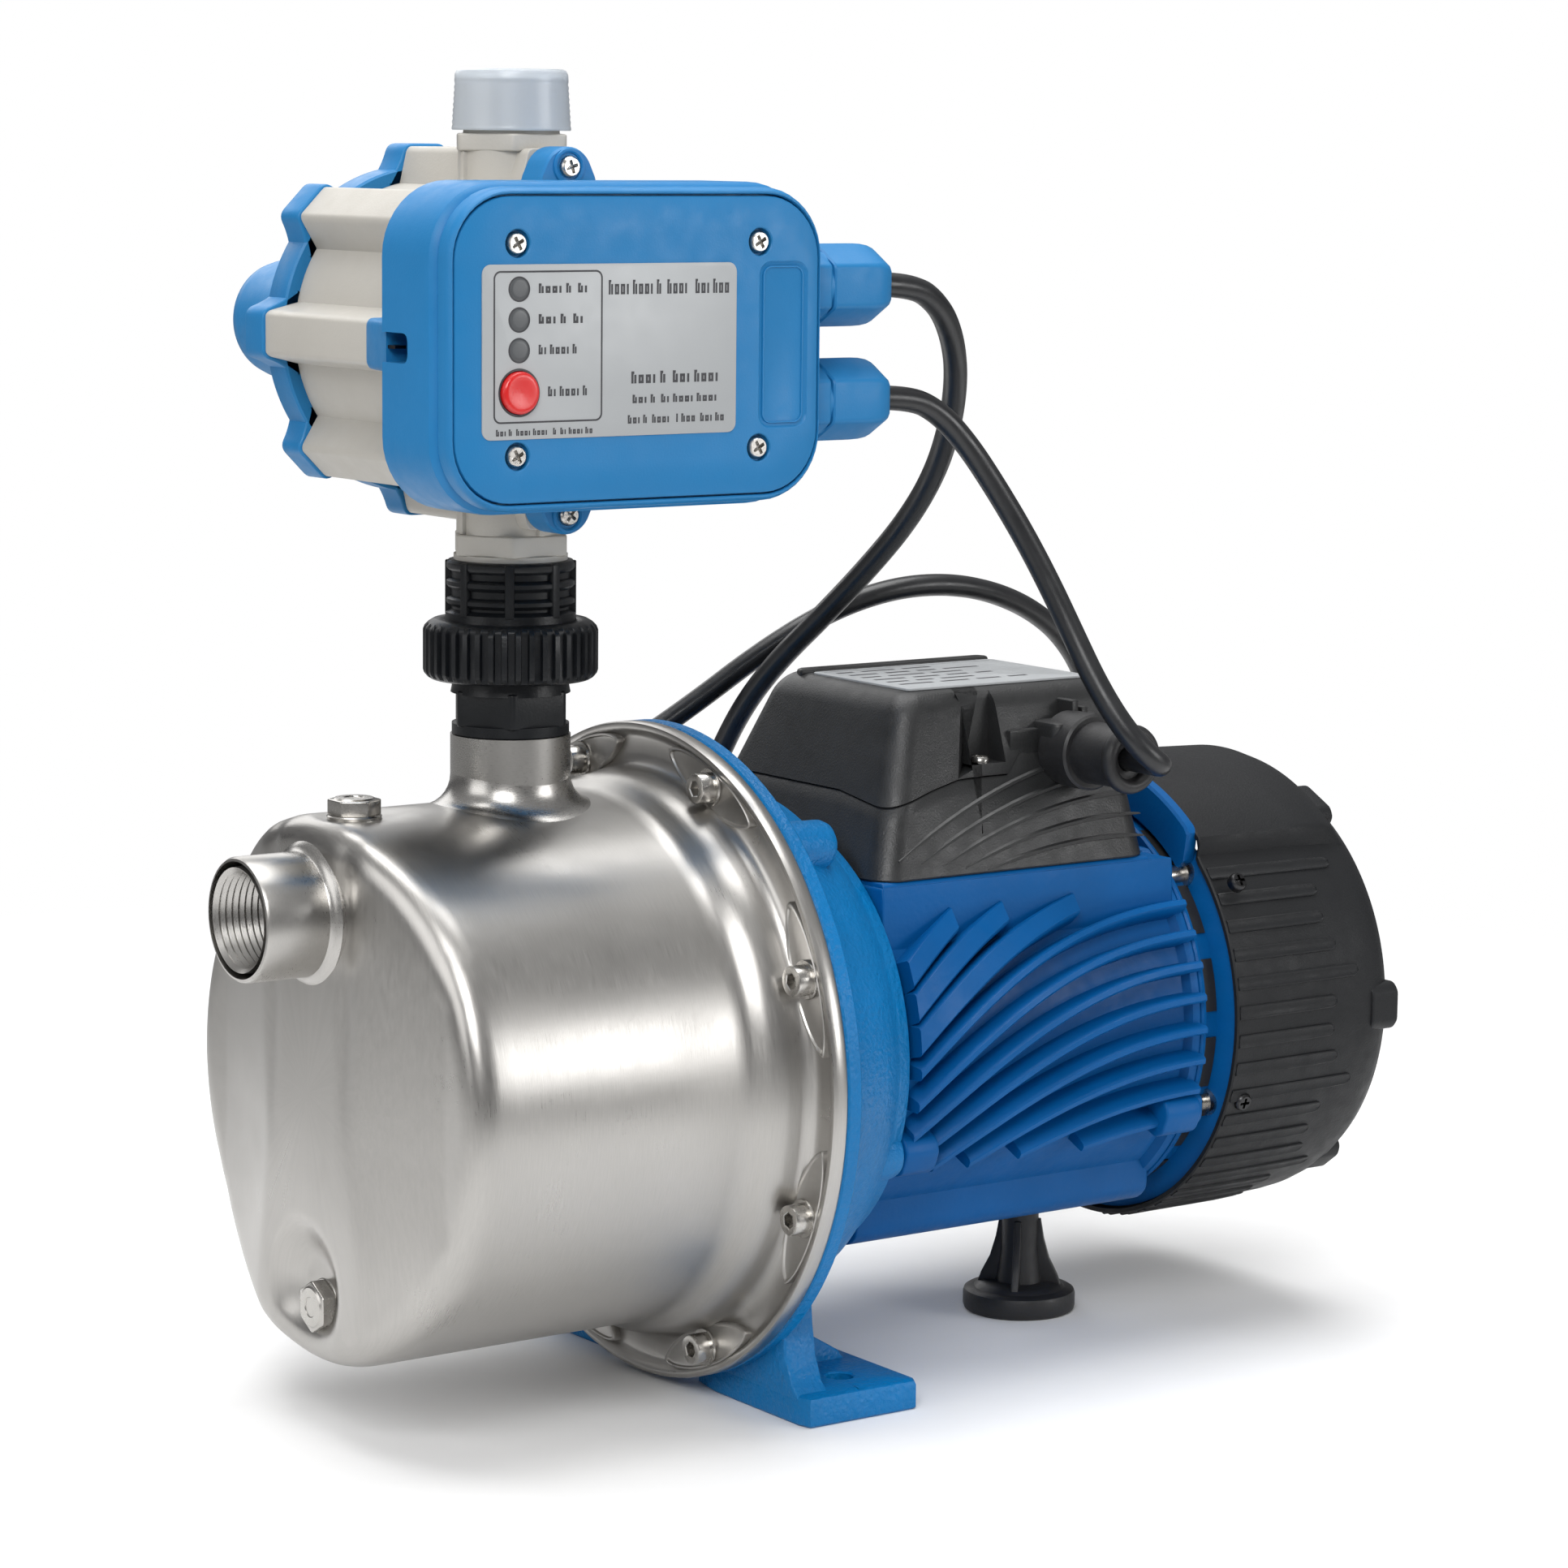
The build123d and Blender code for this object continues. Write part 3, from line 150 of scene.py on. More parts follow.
class Shape:
    """Collects closed solids in one mesh, each drawn in a local frame."""

    def __init__(self, matrix=UP):
        self.bm = bmesh.new()
        self.matrix = matrix

    def add(self, points, faces, matrix=None):
        place = matrix or self.matrix
        verts = [self.bm.verts.new((place @ Vector(p)) * MM) for p in points]
        for face in faces:
            corners = [verts[i] for i in dict.fromkeys(face)]
            if len(corners) > 2:
                self.bm.faces.new(corners)

    def loft(self, loops, matrix=None, cap_start=True, closed=False):
        """Skins closed loops of equal length, in order."""
        count = len(loops[0])
        points = [p for loop in loops for p in loop]
        faces = []
        rows = len(loops)
        for row in range(rows if closed else rows - 1):
            base, above = row * count, ((row + 1) % rows) * count
            for i in range(count):
                j = (i + 1) % count
                faces.append((base + i, base + j, above + j, above + i))
        if cap_start and not closed:
            faces.append(tuple(reversed(range(count))))
        if not closed:
            faces.append(tuple(range((rows - 1) * count, rows * count)))
        self.add(points, faces, matrix)

    def prism(self, outline, z0, z1, edge=0.0, matrix=None):
        """An outline pushed from z0 to z1, its two rims drawn in by a small round edge."""
        ahead = 1 if z1 > z0 else -1
        loops = []
        for z, sign in ((z0, ahead), (z1, -ahead)):
            ring = []
            for t in (0, 0.3, 0.65, 1) if edge > 0 else (1,):
                lift = edge * (1 - math.sqrt(1 - (1 - t) ** 2))
                ring.append(level(shrink(outline, lift), z + sign * edge * t))
            loops += ring if sign == ahead else ring[::-1]
        self.loft(loops, matrix)

    def lathe(self, outline, segments=72, matrix=None, closed=True, radius_at=None):
        """Turns (along, radius) points about the local z axis; a closed outline is a ring."""
        turns = [360 * k / segments for k in range(segments)]
        loops = []
        for along, radius in outline:
            reach = [radius_at(a, along, radius) if radius_at else radius for a in turns]
            loops.append([(*polar(r, a), along) for r, a in zip(reach, turns)])
        self.loft(loops, matrix, closed=closed)

    def tube(self, path, radius, sides):
        """A round rod along row-frame points."""
        loops = []
        normal = Vector((0, 0, 1))
        ring = regular(sides, radius)
        for i, point in enumerate(path):
            ahead = Vector(path[min(i + 1, len(path) - 1)]) - Vector(path[max(i - 1, 0)])
            ahead.normalize()
            normal = (normal - ahead * normal.dot(ahead)).normalized()
            side = ahead.cross(normal)
            loops.append([tuple(Vector(point) + normal * x + side * y) for x, y in ring])
        self.loft(loops, UP)

    def box(self, x0, x1, y0, y1, z0, z1, edge=0.4, matrix=None):
        outline = [(x0, y0), (x1, y0), (x1, y1), (x0, y1)]
        self.prism(outline, z0, z1, edge, matrix)

    def done(self, name, material, body="root", replaces=(), sharp=32):
        """Turns the collected solids into one piece that rides on a body."""
        bmesh.ops.recalc_face_normals(self.bm, faces=self.bm.faces)
        mesh = bpy.data.meshes.new(name)
        self.bm.to_mesh(mesh)
        self.bm.free()
        mesh.shade_smooth()
        mesh.set_sharp_from_angle(angle=math.radians(sharp))
        mesh.materials.append(material)
        piece = bpy.data.objects.new(name, mesh)
        bpy.context.scene.collection.objects.link(piece)
        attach(piece, body)
        if replaces:
            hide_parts(*replaces)
        return piece


def shrink(outline, amount):
    """Moves each point of a counter-clockwise outline inwards."""
    if amount == 0:
        return list(outline)
    count = len(outline)
    result = []
    for i, point in enumerate(outline):
        here = Vector(point)
        d0 = (here - Vector(outline[i - 1])).normalized()
        d1 = (Vector(outline[(i + 1) % count]) - here).normalized()
        n0, n1 = Vector((-d0.y, d0.x)), Vector((-d1.y, d1.x))
        mid = n0 + n1
        if mid.length < 1e-6:
            result.append(point)
            continue
        mid.normalize()
        result.append(tuple(here + mid * (amount / max(0.35, mid.dot(n1)))))
    return result


# ---- materials ---------------------------------------------------------------------
def node_material(name):
    material = bpy.data.materials.new(name)
    material.use_nodes = True
    nodes, links = material.node_tree.nodes, material.node_tree.links
    return material, nodes, links, nodes["Principled BSDF"]


def noise(nodes, links, vector, scale, detail=3.0, rough=0.55):
    texture = nodes.new("ShaderNodeTexNoise")
    texture.inputs["Scale"].default_value = scale
    texture.inputs["Detail"].default_value = detail
    texture.inputs["Roughness"].default_value = rough
    links.new(vector, texture.inputs["Vector"])
    return texture.outputs["Fac"]


def ranged(nodes, links, value, low, high, from_low=0.3, from_high=0.7):
    node = nodes.new("ShaderNodeMapRange")
    node.inputs["From Min"].default_value = from_low
    node.inputs["From Max"].default_value = from_high
    node.inputs["To Min"].default_value = low
    node.inputs["To Max"].default_value = high
    links.new(value, node.inputs["Value"])
    return node.outputs["Result"]


def two_tone(nodes, links, value, dark, light):
    ramp = nodes.new("ShaderNodeValToRGB")
    ramp.color_ramp.elements[0].position = 0.3
    ramp.color_ramp.elements[1].position = 0.7
    ramp.color_ramp.elements[0].color = (*dark, 1)
    ramp.color_ramp.elements[1].color = (*light, 1)
    links.new(value, ramp.inputs["Fac"])
    return ramp.outputs["Color"]


def bumped(nodes, links, shader, height, distance):
    bump = nodes.new("ShaderNodeBump")
    bump.inputs["Strength"].default_value = 1.0
    bump.inputs["Distance"].default_value = distance
    links.new(height, bump.inputs["Height"])
    links.new(bump.outputs["Normal"], shader.inputs["Normal"])


def varied(nodes, links, value, colour, vary):
    """The colour, a little darker and lighter as value goes from low to high."""
    dark = tuple(c * (1 - vary) for c in colour)
    light = tuple(min(1, c * (1 + vary)) for c in colour)
    return two_tone(nodes, links, value, dark, light)


def moulded(name, colour, rough=0.45, grain=1500, depth=0.00006, vary=0.07, coat=0.0, metal=0.0,
            spread=0.08, blotch=24, transmission=0.0, specular=0.5):
    """Plastic, paint, rubber or cast metal: mottled colour, uneven gloss and a fine grain."""
    material, nodes, links, shader = node_material(name)
    place = nodes.new("ShaderNodeTexCoord").outputs["Object"]
    patches = noise(nodes, links, place, blotch, 4)
    links.new(varied(nodes, links, patches, colour, vary), shader.inputs["Base Color"])
    fine = noise(nodes, links, place, grain, 2)
    gloss = ranged(nodes, links, noise(nodes, links, place, blotch * 6, 3), rough - spread, rough + spread)
    links.new(gloss, shader.inputs["Roughness"])
    bumped(nodes, links, shader, fine, depth)
    shader.inputs["Metallic"].default_value = metal
    shader.inputs["Coat Weight"].default_value = coat
    shader.inputs["Coat Roughness"].default_value = 0.25
    shader.inputs["Transmission Weight"].default_value = transmission
    shader.inputs["Specular IOR Level"].default_value = specular
    return material


def brushed(name, colour, rough, origin, along):
    """Satin metal brushed round an axis that runs along X, Y or Z through origin."""
    material, nodes, links, shader = node_material(name)
    place = nodes.new("ShaderNodeTexCoord").outputs["Object"]
    shift = nodes.new("ShaderNodeVectorMath")
    shift.operation = "SUBTRACT"
    shift.inputs[1].default_value = [c * MM for c in origin]
    links.new(place, shift.inputs[0])
    parts = nodes.new("ShaderNodeSeparateXYZ")
    links.new(shift.outputs[0], parts.inputs[0])
    names = {"X": ("X", "Y", "Z"), "Y": ("Y", "Z", "X"), "Z": ("Z", "X", "Y")}[along]
    angle = nodes.new("ShaderNodeMath")
    angle.operation = "ARCTAN2"
    links.new(parts.outputs[names[2]], angle.inputs[0])
    links.new(parts.outputs[names[1]], angle.inputs[1])
    slow = nodes.new("ShaderNodeMath")
    slow.operation = "MULTIPLY"
    slow.inputs[1].default_value = 0.004
    links.new(angle.outputs[0], slow.inputs[0])
    swirl = nodes.new("ShaderNodeCombineXYZ")
    links.new(parts.outputs[names[0]], swirl.inputs[0])
    links.new(slow.outputs[0], swirl.inputs[1])
    lines = noise(nodes, links, swirl.outputs[0], 2600, 3, 0.7)
    clouds = noise(nodes, links, place, 22, 4)
    links.new(varied(nodes, links, lines, colour, 0.05), shader.inputs["Base Color"])
    total = nodes.new("ShaderNodeMath")
    total.operation = "MULTIPLY"
    links.new(ranged(nodes, links, lines, 0.88, 1.12), total.inputs[0])
    links.new(ranged(nodes, links, clouds, rough * 0.85, rough * 1.2), total.inputs[1])
    links.new(total.outputs[0], shader.inputs["Roughness"])
    bumped(nodes, links, shader, lines, 0.00002)
    shader.inputs["Metallic"].default_value = 1.0
    return material


STEEL = (0.42, 0.408, 0.39)
stainless = brushed("satin_stainless", STEEL, 0.33, (0, 0, AXIS_Z), "X")
stainless_port = brushed("satin_stainless_port", STEEL, 0.3, (0, 0, 170), "X")
stainless_stub = brushed("satin_stainless_stub", STEEL, 0.27, (STACK_X, 0, 0), "Z")
bright_steel = moulded("bright_steel", (0.47, 0.455, 0.43), 0.27, 900, 0.00002, 0.1, 0, 1.0, 0.07)
dark_zinc = moulded("black_zinc", (0.05, 0.05, 0.052), 0.35, 900, 0.00002, 0.1, 0, 1.0)
cast_steel = moulded("dull_iron", (0.3, 0.29, 0.28), 0.55, 500, 0.0001, 0.15, 0, 1.0)
motor_blue = moulded("motor_enamel", (0.0003, 0.08, 0.262), 0.42, 420, 0.0001, 0.08, 0.0, specular=0.16)
cast_blue = moulded("bracket_enamel", (0.0005, 0.142, 0.375), 0.4, 480, 0.0006, 0.09, 0.02, specular=0.25)
ctrl_blue = moulded("controller_plastic", (0.014, 0.172, 0.405), 0.42, 1400, 0.00004, 0.03, 0.0, specular=0.3)
grey_plastic = moulded("grey_plastic", (0.46, 0.44, 0.40), 0.48, 1200, 0.00006, 0.03)
charcoal = moulded("fan_cover_plastic", (0.0105, 0.0112, 0.0125), 0.52, 1300, 0.0001, 0.1, specular=0.25)
black_plastic = moulded("box_plastic", (0.014, 0.0145, 0.015), 0.42, 1500, 0.00009, 0.1)
union_plastic = moulded("union_plastic", (0.005, 0.006, 0.0075), 0.38, 1100, 0.00005, 0.1, specular=0.3)
black_rubber = moulded("foot_rubber", (0.012, 0.012, 0.013), 0.5, 900, 0.00008, 0.12)
cord_pvc = moulded("cord_pvc", (0.010, 0.0105, 0.012), 0.36, 1100, 0.00003, 0.1, 0.1)
silver_film = moulded("label_film", (0.37, 0.385, 0.395), 0.42, 1800, 0.00001, 0.02, 0.2)
print_ink = moulded("label_print", (0.035, 0.035, 0.04), 0.5, 1800, 0.00001, 0.05)
red_plastic = moulded("button_red", (0.62, 0.012, 0.012), 0.3, 1200, 0.00003, 0.05, 0.4)
lamp_grey = moulded("lamp_lens", (0.07, 0.075, 0.08), 0.4, 2400, 0.000002, 0.03, 0.2)
milky = moulded("cap_plastic", (0.84, 0.89, 0.94), 0.32, 2400, 0.000003, 0.01, 0.1, 0, 0.04, 24, 0.6)
brass = moulded("brass", (0.72, 0.48, 0.19), 0.3, 900, 0.00003, 0.06, 0, 1.0)
copper = moulded("enamelled_copper", (0.55, 0.2, 0.07), 0.35, 700, 0.0001, 0.1, 0, 0.8)
tan = moulded("glass_filled_plastic", (0.5, 0.4, 0.26), 0.5, 900, 0.00008, 0.06)
green = moulded("board_mask", (0.02, 0.16, 0.07), 0.4, 900, 0.00003, 0.06)

INSIDE = {
    "casing_oring": black_rubber, "ejector_body": tan, "ejector_nozzle": brass, "venturi_tube": tan,
    "diffuser": tan, "impeller": brass, "impeller_nut": bright_steel, "seal_rotating": charcoal,
    "seal_stationary": charcoal, "seal_plate": stainless, "motor_bolts": bright_steel,
    "rotor_shaft": bright_steel, "rotor_core": cast_steel, "ball_bearings": bright_steel,
    "stator_core": cast_steel, "stator_winding": copper, "cooling_fan": charcoal,
    "capacitor": grey_plastic, "terminal_block": tan, "check_valve": grey_plastic,
    "valve_spring": bright_steel, "diaphragm": black_rubber, "diaphragm_spring": bright_steel,
    "circuit_board": green, "indicator_leds": lamp_grey,
    # replaced or refined below
    "pump_casing": stainless, "suction_port": stainless_port, "discharge_port": stainless_stub,
    "priming_plug": bright_steel, "drain_plug": bright_steel, "flange_pads": stainless,
    "flange_bolts": bright_steel, "motor_bracket": cast_blue, "motor_housing": motor_blue,
    "rear_end_shield": motor_blue, "fan_cover": charcoal, "fan_cover_screws": bright_steel,
    "support_foot": black_rubber, "terminal_box_base": black_plastic,
    "terminal_box_cover": black_plastic, "box_screws": bright_steel, "nameplate": silver_film,
    "box_gland": black_plastic, "union_adapter": union_plastic, "union_tail": union_plastic,
    "union_nut": union_plastic, "controller_body": grey_plastic, "rear_cover": ctrl_blue,
    "controller_housing": ctrl_blue, "controller_lid": ctrl_blue, "control_label": silver_film,
    "restart_button": red_plastic, "controller_screws": bright_steel, "cable_glands": ctrl_blue,
    "thread_cap": milky, "motor_cable": cord_pvc, "mains_lead": cord_pvc, "mains_coil": cord_pvc,
    "coil_tie": union_plastic, "mains_plug": black_rubber,
}
for node_name, material in INSIDE.items():
    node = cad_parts[node_name]
    node.data.materials.clear()
    node.data.materials.append(material)


# ---- stage, light and camera --------------------------------------------------------
def camera():
    """The photograph's viewpoint: azimuth, pitch, roll and a long lens."""
    swing, pitch, roll = (math.radians(d) for d in (35.52, 8.22, 0.59))
    ahead = Vector((math.sin(swing) * math.cos(pitch), math.cos(swing) * math.cos(pitch), -math.sin(pitch)))
    right = Vector((math.cos(swing), -math.sin(swing), 0))
    over = right.cross(ahead)
    side = right * math.cos(roll) + over * math.sin(roll)
    top = over * math.cos(roll) - right * math.sin(roll)
    data = bpy.data.cameras.new("camera")
    data.lens = 104.4
    data.sensor_width = 36
    data.clip_end = 60
    view = bpy.data.objects.new("camera", data)
    view.matrix_world = columns(side, top, -ahead, (-0.8630, -1.2399, 0.4174))
    bpy.context.scene.collection.objects.link(view)
    bpy.context.scene.camera = view


def softbox(name, place, target, size, power):
    data = bpy.data.lights.new(name, "AREA")
    data.shape = "RECTANGLE"
    data.size, data.size_y = size
    data.energy = power
    light = bpy.data.objects.new(name, data)
    light.location = place
    light.rotation_euler = (Vector(target) - Vector(place)).to_track_quat("-Z", "Y").to_euler()
    bpy.context.scene.collection.objects.link(light)


def floor_paint():
    """Matt white that turns into the white surround away from the pump."""
    material, nodes, links, shader = node_material("floor_paint")
    place = nodes.new("ShaderNodeTexCoord").outputs["Object"]
    speck = noise(nodes, links, place, 60, 2)
    links.new(two_tone(nodes, links, speck, (0.865, 0.865, 0.865), (0.875, 0.875, 0.875)),
              shader.inputs["Base Color"])
    shader.inputs["Roughness"].default_value = 0.7
    shader.inputs["Specular IOR Level"].default_value = 0.2
    distance = nodes.new("ShaderNodeVectorMath")
    distance.operation = "LENGTH"
    links.new(place, distance.inputs[0])
    white = nodes.new("ShaderNodeEmission")
    fade = ranged(nodes, links, distance.outputs["Value"], 0.0, 1.0, 0.42, 0.95)
    blend = nodes.new("ShaderNodeMixShader")
    seen = nodes.new("ShaderNodeLightPath").outputs["Is Camera Ray"]
    links.new(ranged(nodes, links, seen, 0.36, 1.0, 0, 1), white.inputs["Strength"])
    links.new(fade, blend.inputs["Fac"])
    links.new(shader.outputs[0], blend.inputs[1])
    links.new(white.outputs[0], blend.inputs[2])
    links.new(blend.outputs[0], nodes["Material Output"].inputs["Surface"])
    return material


def studio():
    floor_mesh = bpy.data.meshes.new("floor")
    ring = [(12 * math.cos(TAU * k / 96), 12 * math.sin(TAU * k / 96), 0) for k in range(96)]
    floor_mesh.from_pydata(ring, [], [tuple(range(96))])
    floor_mesh.materials.append(floor_paint())
    floor = bpy.data.objects.new("floor", floor_mesh)
    bpy.context.scene.collection.objects.link(floor)
    world = bpy.data.worlds.new("studio")
    bpy.context.scene.world = world
    world.use_nodes = True
    nodes, links = world.node_tree.nodes, world.node_tree.links
    seen = nodes["Background"]
    seen.inputs["Color"].default_value = (1, 1, 1, 1)
    seen.inputs["Strength"].default_value = 1.0
    around = nodes.new("ShaderNodeBackground")
    around.inputs["Strength"].default_value = 0.5
    height = nodes.new("ShaderNodeSeparateXYZ")
    links.new(nodes.new("ShaderNodeTexCoord").outputs["Generated"], height.inputs[0])
    ramp = nodes.new("ShaderNodeValToRGB")
    ramp.color_ramp.elements[0].position = 0.0
    ramp.color_ramp.elements[0].color = (0.24, 0.24, 0.25, 1)
    ramp.color_ramp.elements[1].position = 0.9
    ramp.color_ramp.elements[1].color = (0.95, 0.95, 0.95, 1)
    links.new(height.outputs["Z"], ramp.inputs["Fac"])
    links.new(ramp.outputs["Color"], around.inputs["Color"])
    choose = nodes.new("ShaderNodeMixShader")
    links.new(nodes.new("ShaderNodeLightPath").outputs["Is Camera Ray"], choose.inputs["Fac"])
    links.new(around.outputs[0], choose.inputs[1])
    links.new(seen.outputs[0], choose.inputs[2])
    links.new(choose.outputs[0], nodes["World Output"].inputs["Surface"])
    bpy.context.scene.view_settings.view_transform = "Standard"
    softbox("key", (-1.3, -1.5, 1.5), (0, 0, 0.2), (1.0, 1.1), 30)
    softbox("top", (0.1, 0.2, 2.1), (0, 0, 0.1), (1.8, 1.6), 44)
    softbox("side", (1.25, -1.75, 0.62), (-0.05, 0, 0.12), (0.9, 0.7), 12)
    softbox("left", (-2.0, 0.1, 0.9), (0, 0, 0.25), (1.2, 1.2), 9)
    softbox("back", (0.3, 2.0, 1.2), (0, 0, 0.2), (1.6, 1.0), 9)


camera()
studio()


# ---- cables -------------------------------------------------------------------------
CORD_R = 4.0
COIL_AT = (185.0, 185.0)
COIL_R = 46.0
COIL_LEVELS = (5.0, 13.9)
LEAD_ROUTE = [
    (14, -56, 367.5), (31, -56, 367.5), (44.5, -53, 360.5), (54.5, -47.5, 349.5), (63, -39, 336),
    (70, -27, 319), (75, -12, 301), (76.5, 6, 283), (73.5, 25, 265), (68, 43, 247.5),
    (62.5, 61, 231), (59, 77, 213.5), (58, 91, 194), (56, 102, 173), (48.5, 110, 153),
    (35, 114.5, 137), (17, 116.5, 129), (-1, 117, 133), (-13, 116, 147), (-14.5, 113.5, 164),
    (-5, 110, 178), (10, 105, 189), (28, 98.5, 199.5), (47.5, 90, 214), (67.5, 80, 231),
    (89.5, 70.5, 245.5), (113, 64, 253.5), (138, 62, 254.5), (163, 63.5, 249.5),
    (187, 68, 239.5), (207, 74.5, 225.5), (222.5, 82, 207.5), (233, 89, 186),
    (239, 94.5, 161), (241, 98, 135), (241.5, 101, 108), (239.5, 105, 80), (235.5, 111, 54),
    (228, 119.5, 32), (216.5, 129, 15), (203, 136, 6.4), (188, 139, 5.1),
]
MOTOR_ROUTE = [
    (14, -56, 331), (30.5, -56, 331), (43, -56, 325.5), (53.5, -57.5, 315), (63, -60.5, 301),
    (71.5, -65.5, 285), (78.5, -71.5, 268), (83, -78.5, 252), (86, -86, 238),
    (89.5, -93.5, 226), (94.5, -99.5, 216.5), (101, -101.5, 210.8), (106.4, -97, 209.2),
    (108, -89, 209), (108, -77, 209),
]


def coil_points():
    """Two turns on top of each other, clockwise from above, ending beside the plug."""
    points = []
    per_turn = 16
    for k in range(1, 2 * per_turn + 5):
        turn = math.radians(-90 - 360 * k / per_turn)
        level = mix(COIL_LEVELS[0], COIL_LEVELS[1], smoothstep(0.75 * per_turn, 1.15 * per_turn, k))
        points.append((
            COIL_AT[0] + COIL_R / math.cos(math.pi / per_turn) * math.cos(turn),
            COIL_AT[1] + COIL_R / math.cos(math.pi / per_turn) * math.sin(turn),
            level,
        ))
    return points + [(COIL_AT[0] - COIL_R, COIL_AT[1] + ahead, COIL_LEVELS[1]) for ahead in (16, 34)]


def cord(name, points):
    curve = bpy.data.curves.new(name, "CURVE")
    curve.dimensions = "3D"
    spline = curve.splines.new("NURBS")
    spline.points.add(len(points) - 1)
    for control, point in zip(spline.points, points):
        control.co = (*(Vector(point) * MM), 1)
    spline.order_u = 3
    spline.use_endpoint_u = True
    curve.resolution_u = 10
    curve.bevel_depth = CORD_R * MM
    curve.bevel_resolution = 6
    curve.use_fill_caps = True
    curve.materials.append(cord_pvc)
    piece = bpy.data.objects.new(name, curve)
    bpy.context.scene.collection.objects.link(piece)
    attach(piece, "root")
    return piece


def spline_length(piece):
    """The curve's own centre line, measured in metres."""
    bare = piece.copy()
    bare.data = piece.data.copy()
    bare.data.bevel_depth = 0
    mesh = bpy.data.meshes.new_from_object(bare)
    length = sum((mesh.vertices[a].co - mesh.vertices[b].co).length
                 for a, b in (edge.vertices for edge in mesh.edges))
    bpy.data.objects.remove(bare)
    return length


motor_cord = cord("motor_cord", MOTOR_ROUTE)
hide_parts("motor_cable")
mains_cord = cord("mains_cord", LEAD_ROUTE[:-1] + coil_points())
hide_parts("mains_lead", "mains_coil")


# ---- pump casing -----------------------------------------------------------------------
NOSE_X = -163.0
BARREL_R = 88.5
SWEEP = math.tan(math.radians(13.5))
FILL_X = -145.3           # axis of the filling plug
BOLT_RING = 101
SCREW_ANGLES = [22.5 + 45 * k for k in range(8)]


def nose_x(y, z):
    """X of the pressed nose at Y and at height z from the shaft."""
    side = abs(y)
    half = 25.5 + 7.0 * smoothstep(-10, -80, z)
    soft = 1.1
    swept = SWEEP * soft * math.log1p(math.exp(min(40, (side - half) / soft)))
    dome = 2.4 * smoothstep(half, 95, side) * smoothstep(92, 40, abs(z))
    groove = 1.5 * math.exp(-((side - half + 2) / 4.5) ** 2) * smoothstep(-30, 35, z)
    dimple = 6.5 * smoothstep(24, 8, math.hypot(y - 2.5, z + 64)) * smoothstep(-88, -74, z)
    return NOSE_X + swept - dome + groove + dimple


def build_casing():
    """Nose from the centre out, its round corner, the barrel and the flange skirt."""
    shape = Shape(SHAFT)
    segments = 224
    corner = 10.0
    turns = [360 * k / segments for k in range(segments)]
    loops = []
    for step in range(1, 45):
        around = [polar((BARREL_R - corner) * step / 44, a) for a in turns]
        loops.append([(y, z, nose_x(y, z)) for y, z in around])
    for step in range(1, 9):
        t = step / 8
        loop = []
        for angle in turns:
            y, z = polar(1, angle)
            x0 = nose_x(y * (BARREL_R - corner), z * (BARREL_R - corner))
            x1 = nose_x(y * BARREL_R, z * BARREL_R)
            reach = (BARREL_R - corner) * (1 - t) ** 2 + BARREL_R * (2 * t * (1 - t) + t * t)
            x = x0 * (1 - t) ** 2 + x1 * 2 * t * (1 - t) + (x1 + corner) * t * t
            loop.append((y * reach, z * reach, x))
        loops.append(loop)
    start = [p[2] for p in loops[-1]]
    for step in range(1, 15):
        loops.append([(*polar(BARREL_R, a), mix(x, -58, step / 14)) for a, x in zip(turns, start)])
    skirt = [(-54, 88.6), (-51, 89.6), (-48.5, 91.6), (-45.5, 93.2), (-41, 94.0), (-37.5, 94.5),
             (-35, 95.3), (-33.4, 97.2), (-33, 99.6), (-33, 104.2), (-33.6, 106), (-35, 107),
             (-35.9, 108.3), (-35.6, 109.6), (-34.4, 110), (-31, 110), (-30, 109.4), (-30, 92)]
    for along, reach in skirt:
        loops.append([(*polar(reach, a), along) for a in turns])
    # flat spot face under the filling plug
    for loop in loops:
        for i, (y, z, x) in enumerate(loop):
            away = math.hypot(x - FILL_X, y)
            if z > 60 and away < 17:
                loop[i] = (y, mix(min(z, 87.0), z, smoothstep(10.5, 16, away)), x)
    shape.loft(loops, cap_start=False)
    hub = shape.bm.verts.new((SHAFT @ Vector((0, 0, nose_x(0, 0)))) * MM)
    shape.bm.verts.ensure_lookup_table()
    for k in range(segments):
        shape.bm.faces.new((hub, shape.bm.verts[(k + 1) % segments], shape.bm.verts[k]))
    return shape.done("casing_shell", stainless, replaces=["pump_casing"], sharp=50)


def saddle(shape, base, reach, rise, radius):
    """A soft fillet between an upright stub on the barrel and the barrel itself."""
    segments, steps = 72, 7
    loops = []
    for step in range(steps + 1):
        turn = math.pi / 2 * step / steps
        loop = []
        for x, y in regular(segments, radius + reach * (1 - math.sin(turn))):
            top = math.sqrt(BARREL_R ** 2 - y * y) + AXIS_Z
            loop.append((base + x, y, top - 0.25 + rise * (1 - math.cos(turn))))
        loops.append(loop)
    inner = regular(segments, radius - 2, 0, (base, 0))
    shape.loft(loops + [level(inner, AXIS_Z + 95), level(inner, AXIS_Z + 80)], UP)


def threaded_tube(shape, outline_out, bore, pitch, z0, z1, chamfer, z_end):
    """A tube whose bore carries thread ridges from z0 to z1."""
    ridges = [(z0, bore + chamfer)]
    z = z0 + chamfer
    while z < z1:
        ridges += [(z, bore), (z + pitch * 0.5, bore + 0.95)]
        z += pitch
    ridges += [(z, bore), (z_end, bore)]
    shape.lathe(outline_out + ridges[::-1], 96)


